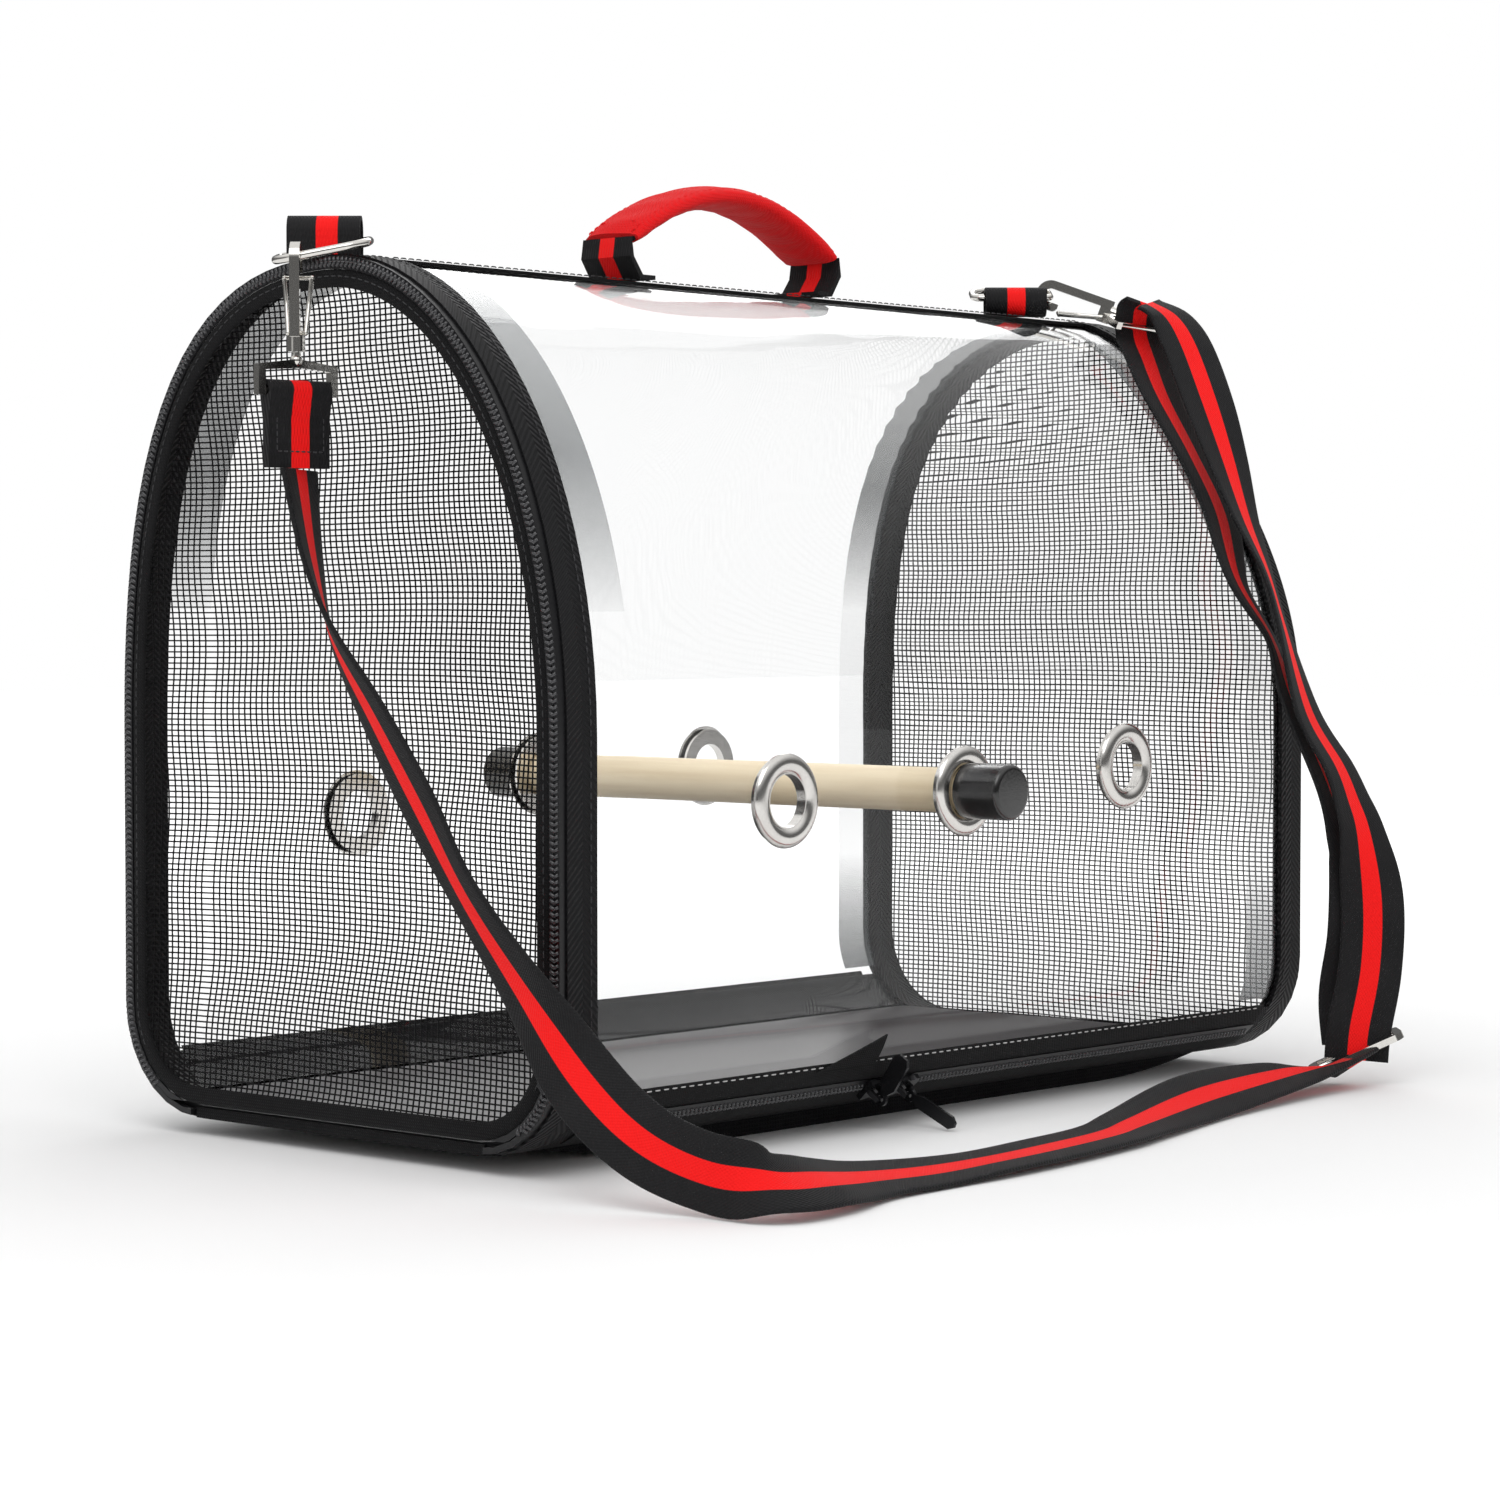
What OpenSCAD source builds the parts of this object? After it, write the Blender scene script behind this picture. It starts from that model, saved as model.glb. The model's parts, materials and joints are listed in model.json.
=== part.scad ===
// Bird travel carrier: a clear arched tunnel on a padded fabric base, with a zipped
// mesh door, a sewn mesh end, six eyelets, a perch, a top handle and a shoulder strap.
// X runs along the tunnel from the mesh door (-X) to the sewn end (+X), Y across it
// with the zipped front at -Y, Z up. The origin is on the floor under its middle.

/* [Tunnel] */
// Length between the outer faces of the two end bindings
tunnel_l = 426; // [380:2:480]
// Outer width of the body
body_w = 221; // [200:1:240]
// Height of the body at the crest
body_h = 308; // [290:1:330]
// Height at which the straight sides turn into the arch
spring_z = 145; // [140:1:160]
// Radius of the bottom corners
corner_r = 40; // [30:1:45]
// How much the back shoulder of the arch bulges out
back_bulge = 0.07; // [0:0.01:0.08]
// How much the front shoulder is drawn in at the sewn end
front_sag = 0.08; // [0:0.01:0.1]
// Height of the end rings' lowest edge above the floor
end_lift = 6; // [4:1:8]
// Thickness of the clear sheet
sheet_t = 1; // [0.6:0.1:1.2]

/* [Ends] */
// Width of the binding along the tunnel
binding_w = 14; // [12:1:18]
// Thickness of the folded binding around the clear sheet
binding_t = 4.6; // [4.6:0.1:5]
// Width of the fabric border round each mesh panel
border_w = 12.6; // [11:0.2:16]
// Spacing of the net's bars
net_pitch = 19; // [18:1:26]
// Width of one bar of the net
net_bar = 2.6; // [2:0.2:4]

/* [Base] */
// Height of the base fabric's side walls
base_wall_z = 26; // [22:1:30]
// Thickness of the padded bottom
base_pad_t = 4; // [3:0.5:5]
// Thickness of the stiff floor board
board_t = 3; // [2:0.5:4]
// Height of the front zip's chain
zip_z = 17; // [16:0.5:19]

/* [Eyelets and perch] */
// Bore of each eyelet
eyelet_bore = 18.6; // [17:0.2:20]
// Outer diameter of each eyelet
eyelet_d = 33; // [30:1:36]
// Spacing of the eyelets along the tunnel
eyelet_pitch = 99; // [90:1:110]
// Diameter of the wooden perch
perch_d = 16.4; // [14:0.2:17]
// Diameter of the rubber caps
cap_d = 20.4; // [19:0.2:24]
// Length of a rubber cap
cap_l = 20; // [18:1:32]

/* [Handle] */
// Distance between the handle's two feet
handle_span = 114; // [108:2:130]
// Rise of the handle's middle over its ends
handle_rise = 20; // [14:1:26]
// Width of the padded sleeve
sleeve_w = 26; // [24:1:30]

/* [Strap] */
// Width of the webbing
webbing_w = 25; // [20:1:30]
// Thickness of the webbing
webbing_t = 1.6; // [1.2:0.1:2]
// Diameter of the wire that the rings are bent from
ring_wire = 3; // [2.5:0.1:3.2]
// Distance from the ring's wire to the bar of the hook's eye
hook_l = 44; // [43:1:48]

/* [Hidden] */

// Colours
black = [0.06, 0.06, 0.065];
soft_black = [0.09, 0.09, 0.095];
red = [0.85, 0.05, 0.05];
metal = [0.78, 0.77, 0.74];
clear = [0.85, 0.92, 0.93, 0.35];
board_grey = [0.30, 0.30, 0.32];
pale_wood = [0.93, 0.88, 0.76];
rubber = [0.05, 0.05, 0.05];

// Body outline
half_w = body_w / 2;
arch_rise = body_h - spring_z;
arch_steps = 44;
corner_steps = 7;
tape_steps = 3;
tape_turn = 5.6;
half_l = tunnel_l / 2;
hair = 0.1;
sheet_d0 = 1.8;
sheet_d1 = sheet_d0 + sheet_t;
fold_t = 0.8;
hoop_t = 2.4;
sheet_end = half_l - fold_t - hoop_t - 0.6;
tray_end = half_l - binding_w - 0.2;

// Ends
zip_w = 2.1;
zip_gap = 0.3;
zip_t = 2.8;
door_x = -half_l - 0.3;
door_zip_d = 0.8 + zip_w + zip_gap;
border_d = door_zip_d + zip_w + 0.2;
border_t = 1.5;
net_t = 1.2;
net_overlap = 2;
door_foot_z = end_lift + 6;
seam_h = 3;

// Base
belly_l = 190;
belly_w = 74;
belly_flat = 120;
belly_steps = 6;
floor_z = end_lift + base_pad_t;
board_z = floor_z + 0.2;
sheet_foot_steps = 5;
tape_t = 0.9;
tape_h = 5.5;
chain_t = 1.6;
chain_h = 4;

// Eyelets: columns from the door to the sewn end; the sheet was punched by hand
eyelet_mid_x = -5;
eyelet_x = [eyelet_mid_x - eyelet_pitch, eyelet_mid_x, eyelet_mid_x + eyelet_pitch];
front_z = [121, 121, 127];
back_z = [109, 121, 121];
wall_y = half_w - sheet_d0;
perch_z = front_z[1];
perch_end = wall_y + 16;
cap_y = wall_y + 2.9;
cap_bore_l = 14;

// Handle
handle_x = -20;
crest_z = body_h - 0.3;
handle_end_z = 322;
sleeve_t = 4.6;
handle_steps = 20;

// Hardware
loop_turn = 41.62;
along = [cos(loop_turn - 90), sin(loop_turn - 90), 0];
outward = [cos(loop_turn), sin(loop_turn), 0];
wire_r = ring_wire / 2;
ring_half = 15.8;
ring_reach = 20;
ring_big_r = 8;
ring_small_r = 3.5;
hook_t = 3.4;
eye_half = 14.8;
near_loop_at = [-211.8, 4.1, crest_z];
near_loop_h = 13.6;
near_ring_tilt = 8;
near_ring_roll = 11;
near_hook_shift = 7.6;
near_bar_at = near_loop_at - 1.3 * along + [0, 0, 2.2];
near_hook_at = near_bar_at
  - ring_reach * cos(near_ring_tilt) * outward
  - near_hook_shift * cos(near_ring_roll) * along
  - [0, 0, ring_reach * sin(near_ring_tilt) + near_hook_shift * sin(near_ring_roll) + 1.15];
near_eye_turn = 42;
far_loop_at = [165.3, 0, crest_z + 0.3];
far_ring_tilt = 13;
far_bar_at = far_loop_at - along + [0, 0, 7.8];
far_hook_reach = 10;
far_hook_yaw = -54.7;
far_hook_droop = 20;
far_hook_pull = [cos(far_hook_yaw) * cos(far_hook_droop), sin(far_hook_yaw) * cos(far_hook_droop),
  -sin(far_hook_droop)];
far_hook_at = far_bar_at + ring_half * along
  + far_hook_reach * (cos(far_ring_tilt) * outward + [0, 0, sin(far_ring_tilt)])
  + 1.15 * far_hook_pull;
far_eye_turn = -15;
far_eye_tilt = 45;

// Strap routes: place of the webbing's middle, then the way that its width points.
// From the near hook's eye, down past the door and along the floor to the adjuster
front_route = [
  [-231, -2, 234, -8, -3, 0], [-230, -7, 204, -8, -5, 1], [-229, -16, 178, -6, -6, 3],
  [-228, -36, 150, -4, -6, 5], [-229, -59, 121, -3, -6, 5], [-230, -81, 93, -4, -6, 5],
  [-232, -109, 65, -2, -6, 6], [-235, -139, 38, 4, -5, 6], [-235, -164, 22, 3, -3, 8],
  [-232, -190, 14, 1, -2, 9], [-222, -208, 12, 4, 6, 6], [-200, -208, 10, -1, 8, 5],
  [-167, -198, 6, 1, 9, 3],
  [-132, -196, 4, 0, 9, 2], [-101, -196, 4, -1, 9, 1], [-64, -193, 4, -1, 9, 1],
  [-22, -187, 4, -2, 9, 1], [3, -181, 5, -2, 9, 2], [63, -168, 8, -3, 8, 5],
  [130, -158, 9, -2, 8, 2], [158, -157, 9, -4, 8, -1], [181, -158, 9, -6, 7, -4]
];
// Up from the adjuster past the sewn end, over the front shoulder to the far hook's eye
rise_route = [
  [181, -158, 10, 6, -7, 4], [183, -158, 22, 6, -7, 3], [189, -159, 45, 6, -7, 1],
  [192, -158, 71, 6, -7, 0], [191, -154, 98, 9, -2, 0], [189, -150, 112, 9, 0, 0],
  [187, -145, 125, 9, 1, 0], [182, -134, 146, 9, 2, 0], [180, -123, 181, 8, 4, 0],
  [181, -115, 201, 8, 4, 0], [183, -103, 223, 9, 2, 0], [188, -90, 249, 9, -1, 0],
  [194, -77, 272, 8, -3, 0], [201, -62, 295, 8, -4, -1], [203, -52, 307, 9, -3, -1],
  [200, -43, 313, 9, -2, -1]
];
// Over the eye's bar, down again behind the rising layer to the adjuster
return_route = [
  [200, -42, 313, 9, -2, -1], [200, -39, 311, 9, -2, -1], [200, -38, 307, 9, -2, 0],
  [200, -38, 302, 9, -2, 0], [199, -40, 297, 9, -2, 0], [194, -47, 289, 9, -1, 0],
  [186, -60, 273, 9, 0, 0], [184, -76, 250, 9, 1, 0], [182, -91, 226, 9, 1, 0],
  [171, -107, 199, 9, 3, 0], [181, -117, 175, 8, 4, 0], [182, -127, 151, 9, 2, 0],
  [188, -141, 117, 9, 1, 0], [192, -147, 98, 9, -2, 0], [193, -150, 85, 8, -4, 0],
  [192, -151, 58, 7, -5, 0], [189, -150, 34, 6, -7, 2], [187, -153, 16, 6, -7, 4]
];
route_steps = 2;
adjuster_at = [184, -156, 13];
adjuster_turn = -48.38;
adjuster_roll = -24;
adjuster_w = 38;
adjuster_l = 19;
adjuster_t = 2.6;

// Point on the arch, drawn inwards by d, t from 0 at the back over the crest to 180 at the
// front; e is 0 for the door end and 1 for the sewn end, whose front shoulder is drawn in
function arch_point(d, e, t) =
  let (f = 1 + (t < 90 ? back_bulge : -front_sag * e) * pow(sin(2 * t), 2))
  [(half_w - d) * cos(t) * f, spring_z + (arch_rise - d) * sin(t) * f];

// Point on a bottom corner; side is 1 at the back and -1 at the front
function corner_point(d, t, side) =
  [side * (half_w - corner_r) + (corner_r - d) * cos(t),
    end_lift + corner_r + (corner_r - d) * sin(t)];

// Outline of an end, drawn inwards by d, starting at the back spring line
function outline(d, e = 0) = concat(
  [for (i = [0:arch_steps]) arch_point(d, e, 180 * i / arch_steps)],
  [for (i = [0:corner_steps]) corner_point(d, 180 + 90 * i / corner_steps, -1)],
  [for (i = [0:corner_steps]) corner_point(d, 270 + 90 * i / corner_steps, 1)]
);

// The sheet's line: from its back foot over the crest to its front foot
function sheet_line(d, e) = concat(
  [for (i = [0:sheet_foot_steps]) corner_point(d, 300 + 60 * i / sheet_foot_steps, 1)],
  [for (i = [0:arch_steps]) arch_point(d, e, 180 * i / arch_steps)],
  [for (i = [0:sheet_foot_steps]) corner_point(d, 180 + 60 * i / sheet_foot_steps, -1)]
);

// The crest tape's line, across the crest from the back to the front
function tape_line(d, e) =
  [for (i = [-tape_steps:tape_steps]) arch_point(d, e, 90 + tape_turn * i / tape_steps)];

// A layer between two lines of one length, drawn from one end profile to the other
module layer(stations, outer, inner) {
  m = len(outer[0]);
  ring = 2 * m;
  points = [for (k = [0:len(stations) - 1]) each concat(
    [for (p = outer[k]) [stations[k], p[0], p[1]]],
    [for (i = [m - 1:-1:0]) [stations[k], inner[k][i][0], inner[k][i][1]]])];
  sides = [for (k = [0:len(stations) - 2], i = [0:ring - 1])
    let (a = k * ring + i, b = k * ring + (i + 1) % ring)
    each [[a, a + ring, b], [b, a + ring, b + ring]]];
  last = (len(stations) - 1) * ring;
  caps = [for (i = [0:m - 2]) each [
    [i, i + 1, ring - 1 - i], [i + 1, ring - 2 - i, ring - 1 - i],
    [last + i, last + ring - 1 - i, last + i + 1],
    [last + i + 1, last + ring - 1 - i, last + ring - 2 - i]]];
  polyhedron(points, concat(sides, caps));
}

// A flat shape in Y and Z, drawn out along X
module along_x(x0, x1) {
  translate([x0, 0, 0]) rotate([90, 0, 90]) linear_extrude(x1 - x0) children();
}

// A flat shape in X and Z, drawn out along Y
module along_y(y0, y1) {
  translate([0, y1, 0]) rotate([90, 0, 0]) linear_extrude(y1 - y0) children();
}

// The ring between two insets of the outline
module ring_2d(d0, d1, e = 0) {
  difference() {
    polygon(outline(d0, e));
    polygon(outline(d1, e));
  }
}

// Everything in the outline's plane between two heights
module band_2d(z0, z1) {
  translate([-half_w - 5, z0]) square([body_w + 10, z1 - z0]);
}

// Clear sheet bent over the tunnel, with its six punched holes
module clear_shell() {
  color(clear) difference() {
    layer([-sheet_end, -tray_end, tray_end, sheet_end],
      [for (e = [0, 0, 1, 1]) sheet_line(sheet_d0, e)],
      [for (e = [0, 0, 1, 1]) sheet_line(sheet_d1, e)]);
    for (i = [0:2]) {
      hole_y(eyelet_x[i], front_z[i], -1);
      hole_y(eyelet_x[i], back_z[i], 1);
    }
  }
}

// Hole through one side wall
module hole_y(x, z, side) {
  translate([x, side * wall_y, z]) rotate([90, 0, 0])
    cylinder(h = 12, r = eyelet_bore / 2 + 1.7, center = true, $fn = 48);
}

// Height of the belly's underside at x
function belly(x) =
  x < belly_flat ? 0 : end_lift * pow((x - belly_flat) / (belly_l - belly_flat), 2);

// Padded fabric base: side walls, bottom and the belly that stands on the floor
module base_tray() {
  color(soft_black) union() {
    along_x(-tray_end, tray_end) difference() {
      intersection() {
        polygon(outline(0));
        band_2d(0, base_wall_z);
      }
      intersection() {
        polygon(outline(sheet_d0 - 0.2));
        band_2d(floor_z, base_wall_z + 5);
      }
    }
    along_y(-belly_w, belly_w) polygon(concat(
      [[belly_l, end_lift + 2], [-belly_l, end_lift + 2]],
      [for (i = [belly_steps:-1:0]) let (x = belly_flat + (belly_l - belly_flat) * i / belly_steps)
        [-x, belly(x)]],
      [for (i = [0:belly_steps]) let (x = belly_flat + (belly_l - belly_flat) * i / belly_steps)
        [x, belly(x)]]
    ));
  }
}

// Stiff board that makes the floor, rounded to lie inside the base's corners
module floor_board() {
  color(board_grey) along_x(-tray_end + 0.2, tray_end - 0.2) intersection() {
    polygon(outline(sheet_d1 + 0.6));
    band_2d(board_z, board_z + board_t);
  }
}

// Tape sewn along the crest
module crest_tape() {
  color(black) layer([-tray_end, tray_end],
    [for (e = [0, 1]) tape_line(0.4, e)], [for (e = [0, 1]) tape_line(sheet_d0 - 0.3, e)]);
}

// Binding folded round the end of the clear sheet, with room for a hoop in its fold
module end_binding(side) {
  x0 = half_l - binding_w;
  e = side < 0 ? 0 : 1;
  mirror([side < 0 ? 1 : 0, 0, 0]) difference() {
    along_x(x0, half_l) ring_2d(0, binding_t, e);
    along_x(x0 - 1, sheet_end + hair) ring_2d(sheet_d0 - hair, sheet_d1 + hair, e);
    along_x(sheet_end, half_l - fold_t) ring_2d(1, 1 + hoop_t + 0.2, e);
  }
}

// Spring steel hoop that keeps the end in shape, inside the fold
module end_hoop(side) {
  mirror([side < 0 ? 1 : 0, 0, 0])
    along_x(sheet_end + 0.3, half_l - fold_t - 0.2)
      ring_2d(1.1, 1 + hoop_t, side < 0 ? 0 : 1);
}

module near_binding() { color(black) end_binding(-1); }

module far_binding() { color(black) end_binding(1); }

module near_hoop() { color(metal) end_hoop(-1); }

module far_hoop() { color(metal) end_hoop(1); }

// Zip half sewn to the body; it stops where the hinge tape holds the door
module near_zip_outer() {
  color(soft_black) along_x(-half_l - zip_t - hair, -half_l - hair) difference() {
    ring_2d(0.8, 0.8 + zip_w);
    translate([-belly_w, 0]) square([2 * belly_w, door_foot_z]);
  }
}

// Tape that the door hinges on
module near_hinge_tape() {
  color(black) translate([-half_l - 1.1, -belly_w + 1, end_lift + 0.3])
    cube([1, 2 * belly_w - 2, 3.6]);
}

// Zip half sewn to the door
module door_zip_inner() {
  color(soft_black) along_x(door_x - zip_t, door_x) intersection() {
    ring_2d(door_zip_d, door_zip_d + zip_w);
    band_2d(door_foot_z, body_h);
  }
}

// Fabric border of a mesh panel, with a narrow seam along its foot
module border_2d(d0, d1, foot, e) {
  intersection() {
    union() {
      ring_2d(d0, d1, e);
      intersection() {
        polygon(outline(d0, e));
        band_2d(foot, foot + seam_h);
      }
    }
    band_2d(foot, body_h + 5);
  }
}

module door_border() {
  color(black) along_x(door_x - zip_t - 0.3, door_x - zip_t - 0.3 + border_t)
    border_2d(border_d, border_d + border_w, door_foot_z, 0);
}

// Net of crossed bars cut to the outline
module net_2d(d, foot, e) {
  intersection() {
    polygon(outline(d, e));
    band_2d(foot, body_h);
    union() {
      for (i = [-5:5]) translate([i * net_pitch - net_bar / 2, 0]) square([net_bar, body_h]);
      for (i = [0:15])
        translate([-half_w, foot + seam_h + i * net_pitch]) square([body_w, net_bar]);
      ring_2d(d, d + net_overlap + 0.6, e);
      band_2d(foot, foot + seam_h + 0.6);
    }
  }
}

module door_mesh() {
  color(black) along_x(door_x - net_t - 0.1, door_x - 0.1)
    net_2d(border_d + border_w - net_overlap, door_foot_z, 0);
}

module far_border() {
  color(black) along_x(half_l + hair, half_l + hair + border_t)
    border_2d(0.6, 4.4 + border_w, end_lift + 0.6, 1);
}

module far_mesh() {
  color(black) along_x(half_l - net_t, half_l) difference() {
    net_2d(2.4 + border_w, end_lift + 2.4 + border_w, 1);
    band_2d(0, end_lift + 2.4 + border_w);
  }
}

// Distance from the middle plane to the body's side at height z
function side_y(z) =
  half_w - corner_r + sqrt(pow(corner_r, 2) - pow(max(0, end_lift + corner_r - z), 2));

// A strip that lies on the rounded lower side, between two heights
module side_strip(z0, z1, t0, t1, side) {
  n = 4;
  along_x(-tray_end + 6, tray_end - 6) polygon(concat(
    [for (i = [0:n]) let (z = z0 + (z1 - z0) * i / n) [side * (side_y(z) + t0), z]],
    [for (i = [n:-1:0]) let (z = z0 + (z1 - z0) * i / n) [side * (side_y(z) + t1), z]]
  ));
}

module front_zip_upper() {
  color(black) side_strip(zip_z + chain_h / 2 + 0.2, base_wall_z + 1.5, hair, hair + tape_t, -1);
}

module front_zip_lower() {
  color(black) side_strip(zip_z - chain_h / 2 - tape_h, zip_z - chain_h / 2 - 0.2,
    hair, hair + tape_t, -1);
}

module front_zip_chain() {
  color(soft_black) side_strip(zip_z - chain_h / 2, zip_z + chain_h / 2, hair, hair + chain_t, -1);
}

module back_hem() {
  color(black) side_strip(base_wall_z - 7, base_wall_z + 1.5, hair, hair + tape_t, 1);
}

// Folded fabric tab where the two sliders meet, lying on the base's wall
module zip_tab() {
  color(black) intersection() {
    side_strip(base_wall_z - 1, base_wall_z + 11, 1.2, 2.1, -1);
    along_y(-half_w - 5, -half_w + 20)
      polygon([[-84, base_wall_z - 1], [-53, base_wall_z - 1], [-51, base_wall_z + 10]]);
  }
}

// Zip slider on a wall: a waisted shield with a bridge that carries the pull
module slider_body(l, w, t) {
  linear_extrude(t) difference() {
    square([l, w], center = true);
    for (s = [-1, 1]) translate([s * l * 0.12, s * w * 0.78]) circle(d = w * 0.75, $fn = 32);
    for (s = [-1, 1]) translate([-s * l * 0.3, s * w * 0.86]) circle(d = w * 0.6, $fn = 32);
  }
}

module slider_bridge(l, h, w) {
  rotate([90, 0, 0]) linear_extrude(w, center = true) difference() {
    polygon([[-l / 2, 0], [-l / 2 + 1.2, h], [l / 2 - 1.2, h], [l / 2, 0]]);
    polygon([[-l / 2 + 1.5, -1], [-l / 2 + 2.1, h - 1.2], [l / 2 - 2.1, h - 1.2], [l / 2 - 1.5, -1]]);
  }
}

slider_l = 11;
slider_w = 8.6;
slider_t = 2.2;
bridge_h = 4.2;
left_slider_x = -45;
right_slider_x = -29;
slider_rise = 1.6;
wall_lean = asin((end_lift + corner_r - zip_z) / corner_r);
pin_reach = slider_rise + slider_t + bridge_h - 0.6;
pin_y = side_y(zip_z) + pin_reach * cos(wall_lean);
pin_z = zip_z - pin_reach * sin(wall_lean);

module front_slider(x) {
  translate([x, -side_y(zip_z), zip_z]) rotate([90 + wall_lean, 0, 0]) translate([0, 0, slider_rise]) {
    slider_body(slider_l, slider_w, slider_t);
    translate([0, 0, slider_t - hair]) slider_bridge(slider_l - 3, bridge_h, 2);
  }
}

module slider_left() { color(black) front_slider(left_slider_x); }

module slider_right() { color(black) front_slider(right_slider_x); }

// Pull tab: an eye round the bridge, a neck and a leaf-shaped grip, hanging along -Z
module pull_tab(l, w) {
  rotate([90, 0, 0]) linear_extrude(1.3, center = true) difference() {
    polygon(concat([for (a = [-60:15:240]) 2.6 * [cos(a), sin(a)]],
      [[-w / 2, -6], [-w / 2, -l + 2], [-w / 2 + 1.6, -l], [w / 2 - 1.6, -l],
        [w / 2, -l + 2], [w / 2, -6]]));
    circle(r = 1.4, $fn = 32);
  }
}

module pull_at(x, swing) {
  translate([x, -pin_y, pin_z]) rotate([swing, 0, 0]) rotate([0, 0, 90]) children();
}

module pull_left() {
  color(black) pull_at(left_slider_x, 214) pull_tab(19, 7);
}

module pull_right() {
  color(black) pull_at(right_slider_x, -66) pull_tab(23, 5);
}

// Slider and pull of the door's zip, parked at the foot of its front side
module door_slider() {
  color(black) translate([-half_l - zip_t - 0.6, -(half_w - 3), 52]) rotate([0, -90, 0]) {
    slider_body(slider_l, slider_w - 0.6, slider_t);
    translate([0, 0, slider_t - hair]) slider_bridge(slider_l - 3, bridge_h, 2);
  }
}

// Pull with a slot that the bridge passes through; it turns on its bar under the bridge
module slotted_pull(l, w) {
  rotate([90, 0, 0]) linear_extrude(1.3, center = true) difference() {
    polygon([[-2.6, 0.55], [-2.6, -5], [-w / 2, -8], [-w / 2, -l + 2], [-w / 2 + 1.6, -l],
      [w / 2 - 1.6, -l], [w / 2, -l + 2], [w / 2, -8], [2.6, -5], [2.6, 0.55]]);
    translate([-1.35, -5.3]) square([2.7, 4.75]);
  }
}

door_pull_x = -half_l - zip_t - 0.6 - slider_t - 1.3;
door_pull_z = 52.6;

module door_pull() {
  color(black) translate([door_pull_x, -(half_w - 3), door_pull_z]) rotate([0, 0, 90])
    slotted_pull(22, 7);
}

// Eyelet: rolled outer rim, barrel through the sheet and inner washer
module eyelet(x, z, side) {
  r = eyelet_bore / 2;
  rim = (eyelet_d / 2 - r) / 2;
  translate([x, side * wall_y, z]) rotate([-side * 90, 0, 0]) rotate_extrude($fn = 72) union() {
    translate([r + rim, 0.3]) intersection() {
      scale_arc(rim, 2.4);
      translate([-rim, 0]) square([2 * rim, 3]);
    }
    translate([r, -sheet_t - 1.5]) square([1.4, sheet_t + 3]);
    translate([r, -sheet_t - 1.5]) square([rim * 2 - 1.4, 1.2]);
  }
}

// Low rounded section of the rim, as a polygon on a half ellipse
module scale_arc(a, b) {
  n = 12;
  polygon(concat([[a, 0]], [for (i = [0:n]) [a * cos(180 * i / n), b * sin(180 * i / n)]]));
}

module eyelet_front_near() { color(metal) eyelet(eyelet_x[0], front_z[0], -1); }

module eyelet_front_middle() { color(metal) eyelet(eyelet_x[1], front_z[1], -1); }

module eyelet_front_far() { color(metal) eyelet(eyelet_x[2], front_z[2], -1); }

module eyelet_back_near() { color(metal) eyelet(eyelet_x[0], back_z[0], 1); }

module eyelet_back_middle() { color(metal) eyelet(eyelet_x[1], back_z[1], 1); }

module eyelet_back_far() { color(metal) eyelet(eyelet_x[2], back_z[2], 1); }

// Round wooden perch through the middle pair of eyelets
module perch_dowel() {
  color(pale_wood) translate([eyelet_x[1], 0, perch_z]) rotate([90, 0, 0])
    cylinder(h = 2 * perch_end, r = perch_d / 2, center = true, $fn = 64);
}

// Rubber cap pushed over the end of the perch, with a rounded outer edge
module perch_cap(side) {
  r = cap_d / 2;
  translate([eyelet_x[1], side * cap_y, perch_z]) rotate([-side * 90, 0, 0]) difference() {
    rotate_extrude($fn = 64) union() {
      square([r - 2, cap_l]);
      square([r, cap_l - 2]);
      translate([r - 2, cap_l - 2]) circle(r = 2, $fn = 32);
    }
    translate([0, 0, -1]) cylinder(h = cap_bore_l + 1, r = perch_d / 2 + 0.05, $fn = 64);
  }
}

module perch_cap_front() { color(rubber) perch_cap(-1); }

module perch_cap_back() { color(rubber) perch_cap(1); }

// Height of the handle's middle line at distance x from its centre
function handle_z(x) = handle_end_z + handle_rise * (1 - pow(2 * x / handle_span, 2));

module handle_band(t, w, trim) {
  e = handle_span / 2 - trim;
  color_depth = t / 2;
  along_y(-w / 2, w / 2) polygon(concat(
    [for (i = [0:handle_steps]) let (x = -e + 2 * e * i / handle_steps)
      [handle_x + x, handle_z(x) - color_depth]],
    [for (i = [handle_steps:-1:0]) let (x = -e + 2 * e * i / handle_steps)
      [handle_x + x, handle_z(x) + color_depth]]
  ));
}

// Padded sleeve, hollow for the webbing
module handle_sleeve() {
  color(red) difference() {
    handle_band(sleeve_t, sleeve_w, 0);
    handle_band(webbing_t + 0.4, sleeve_w - 2, -1);
  }
}

module handle_webbing() { color(black) handle_band(webbing_t, sleeve_w - 2.6, 0.4); }

// Foot of the handle: sewn flat on the crest tape, then kinked up to the sleeve
module handle_foot(side) {
  top = handle_end_z - crest_z;
  bend = 8;
  end = handle_span / 2;
  lower = [[-11, 0], [-3, 0], [2.4, bend], [1.3, top + 0.9]];
  upper = [[1.3, top - 0.9], [0.4, bend], [-4.4, webbing_t], [-11, webbing_t]];
  along_y(-webbing_w / 2, webbing_w / 2)
    polygon([for (p = concat(lower, upper))
      [handle_x + side * (end + p[0]), crest_z + hair + p[1]]]);
}

module handle_foot_near() { color(black) handle_foot(-1); }

module handle_foot_far() { color(black) handle_foot(1); }

// Slack webbing loop, sewn down along its foot
module webbing_loop(at, h, depth) {
  r = h / 2;
  translate(at) rotate([0, 0, loop_turn - 90]) rotate([90, 0, 90])
    linear_extrude(webbing_w, center = true) difference() {
      racetrack(depth, r);
      translate([0, webbing_t]) racetrack(depth, r - webbing_t);
    }
}

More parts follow.
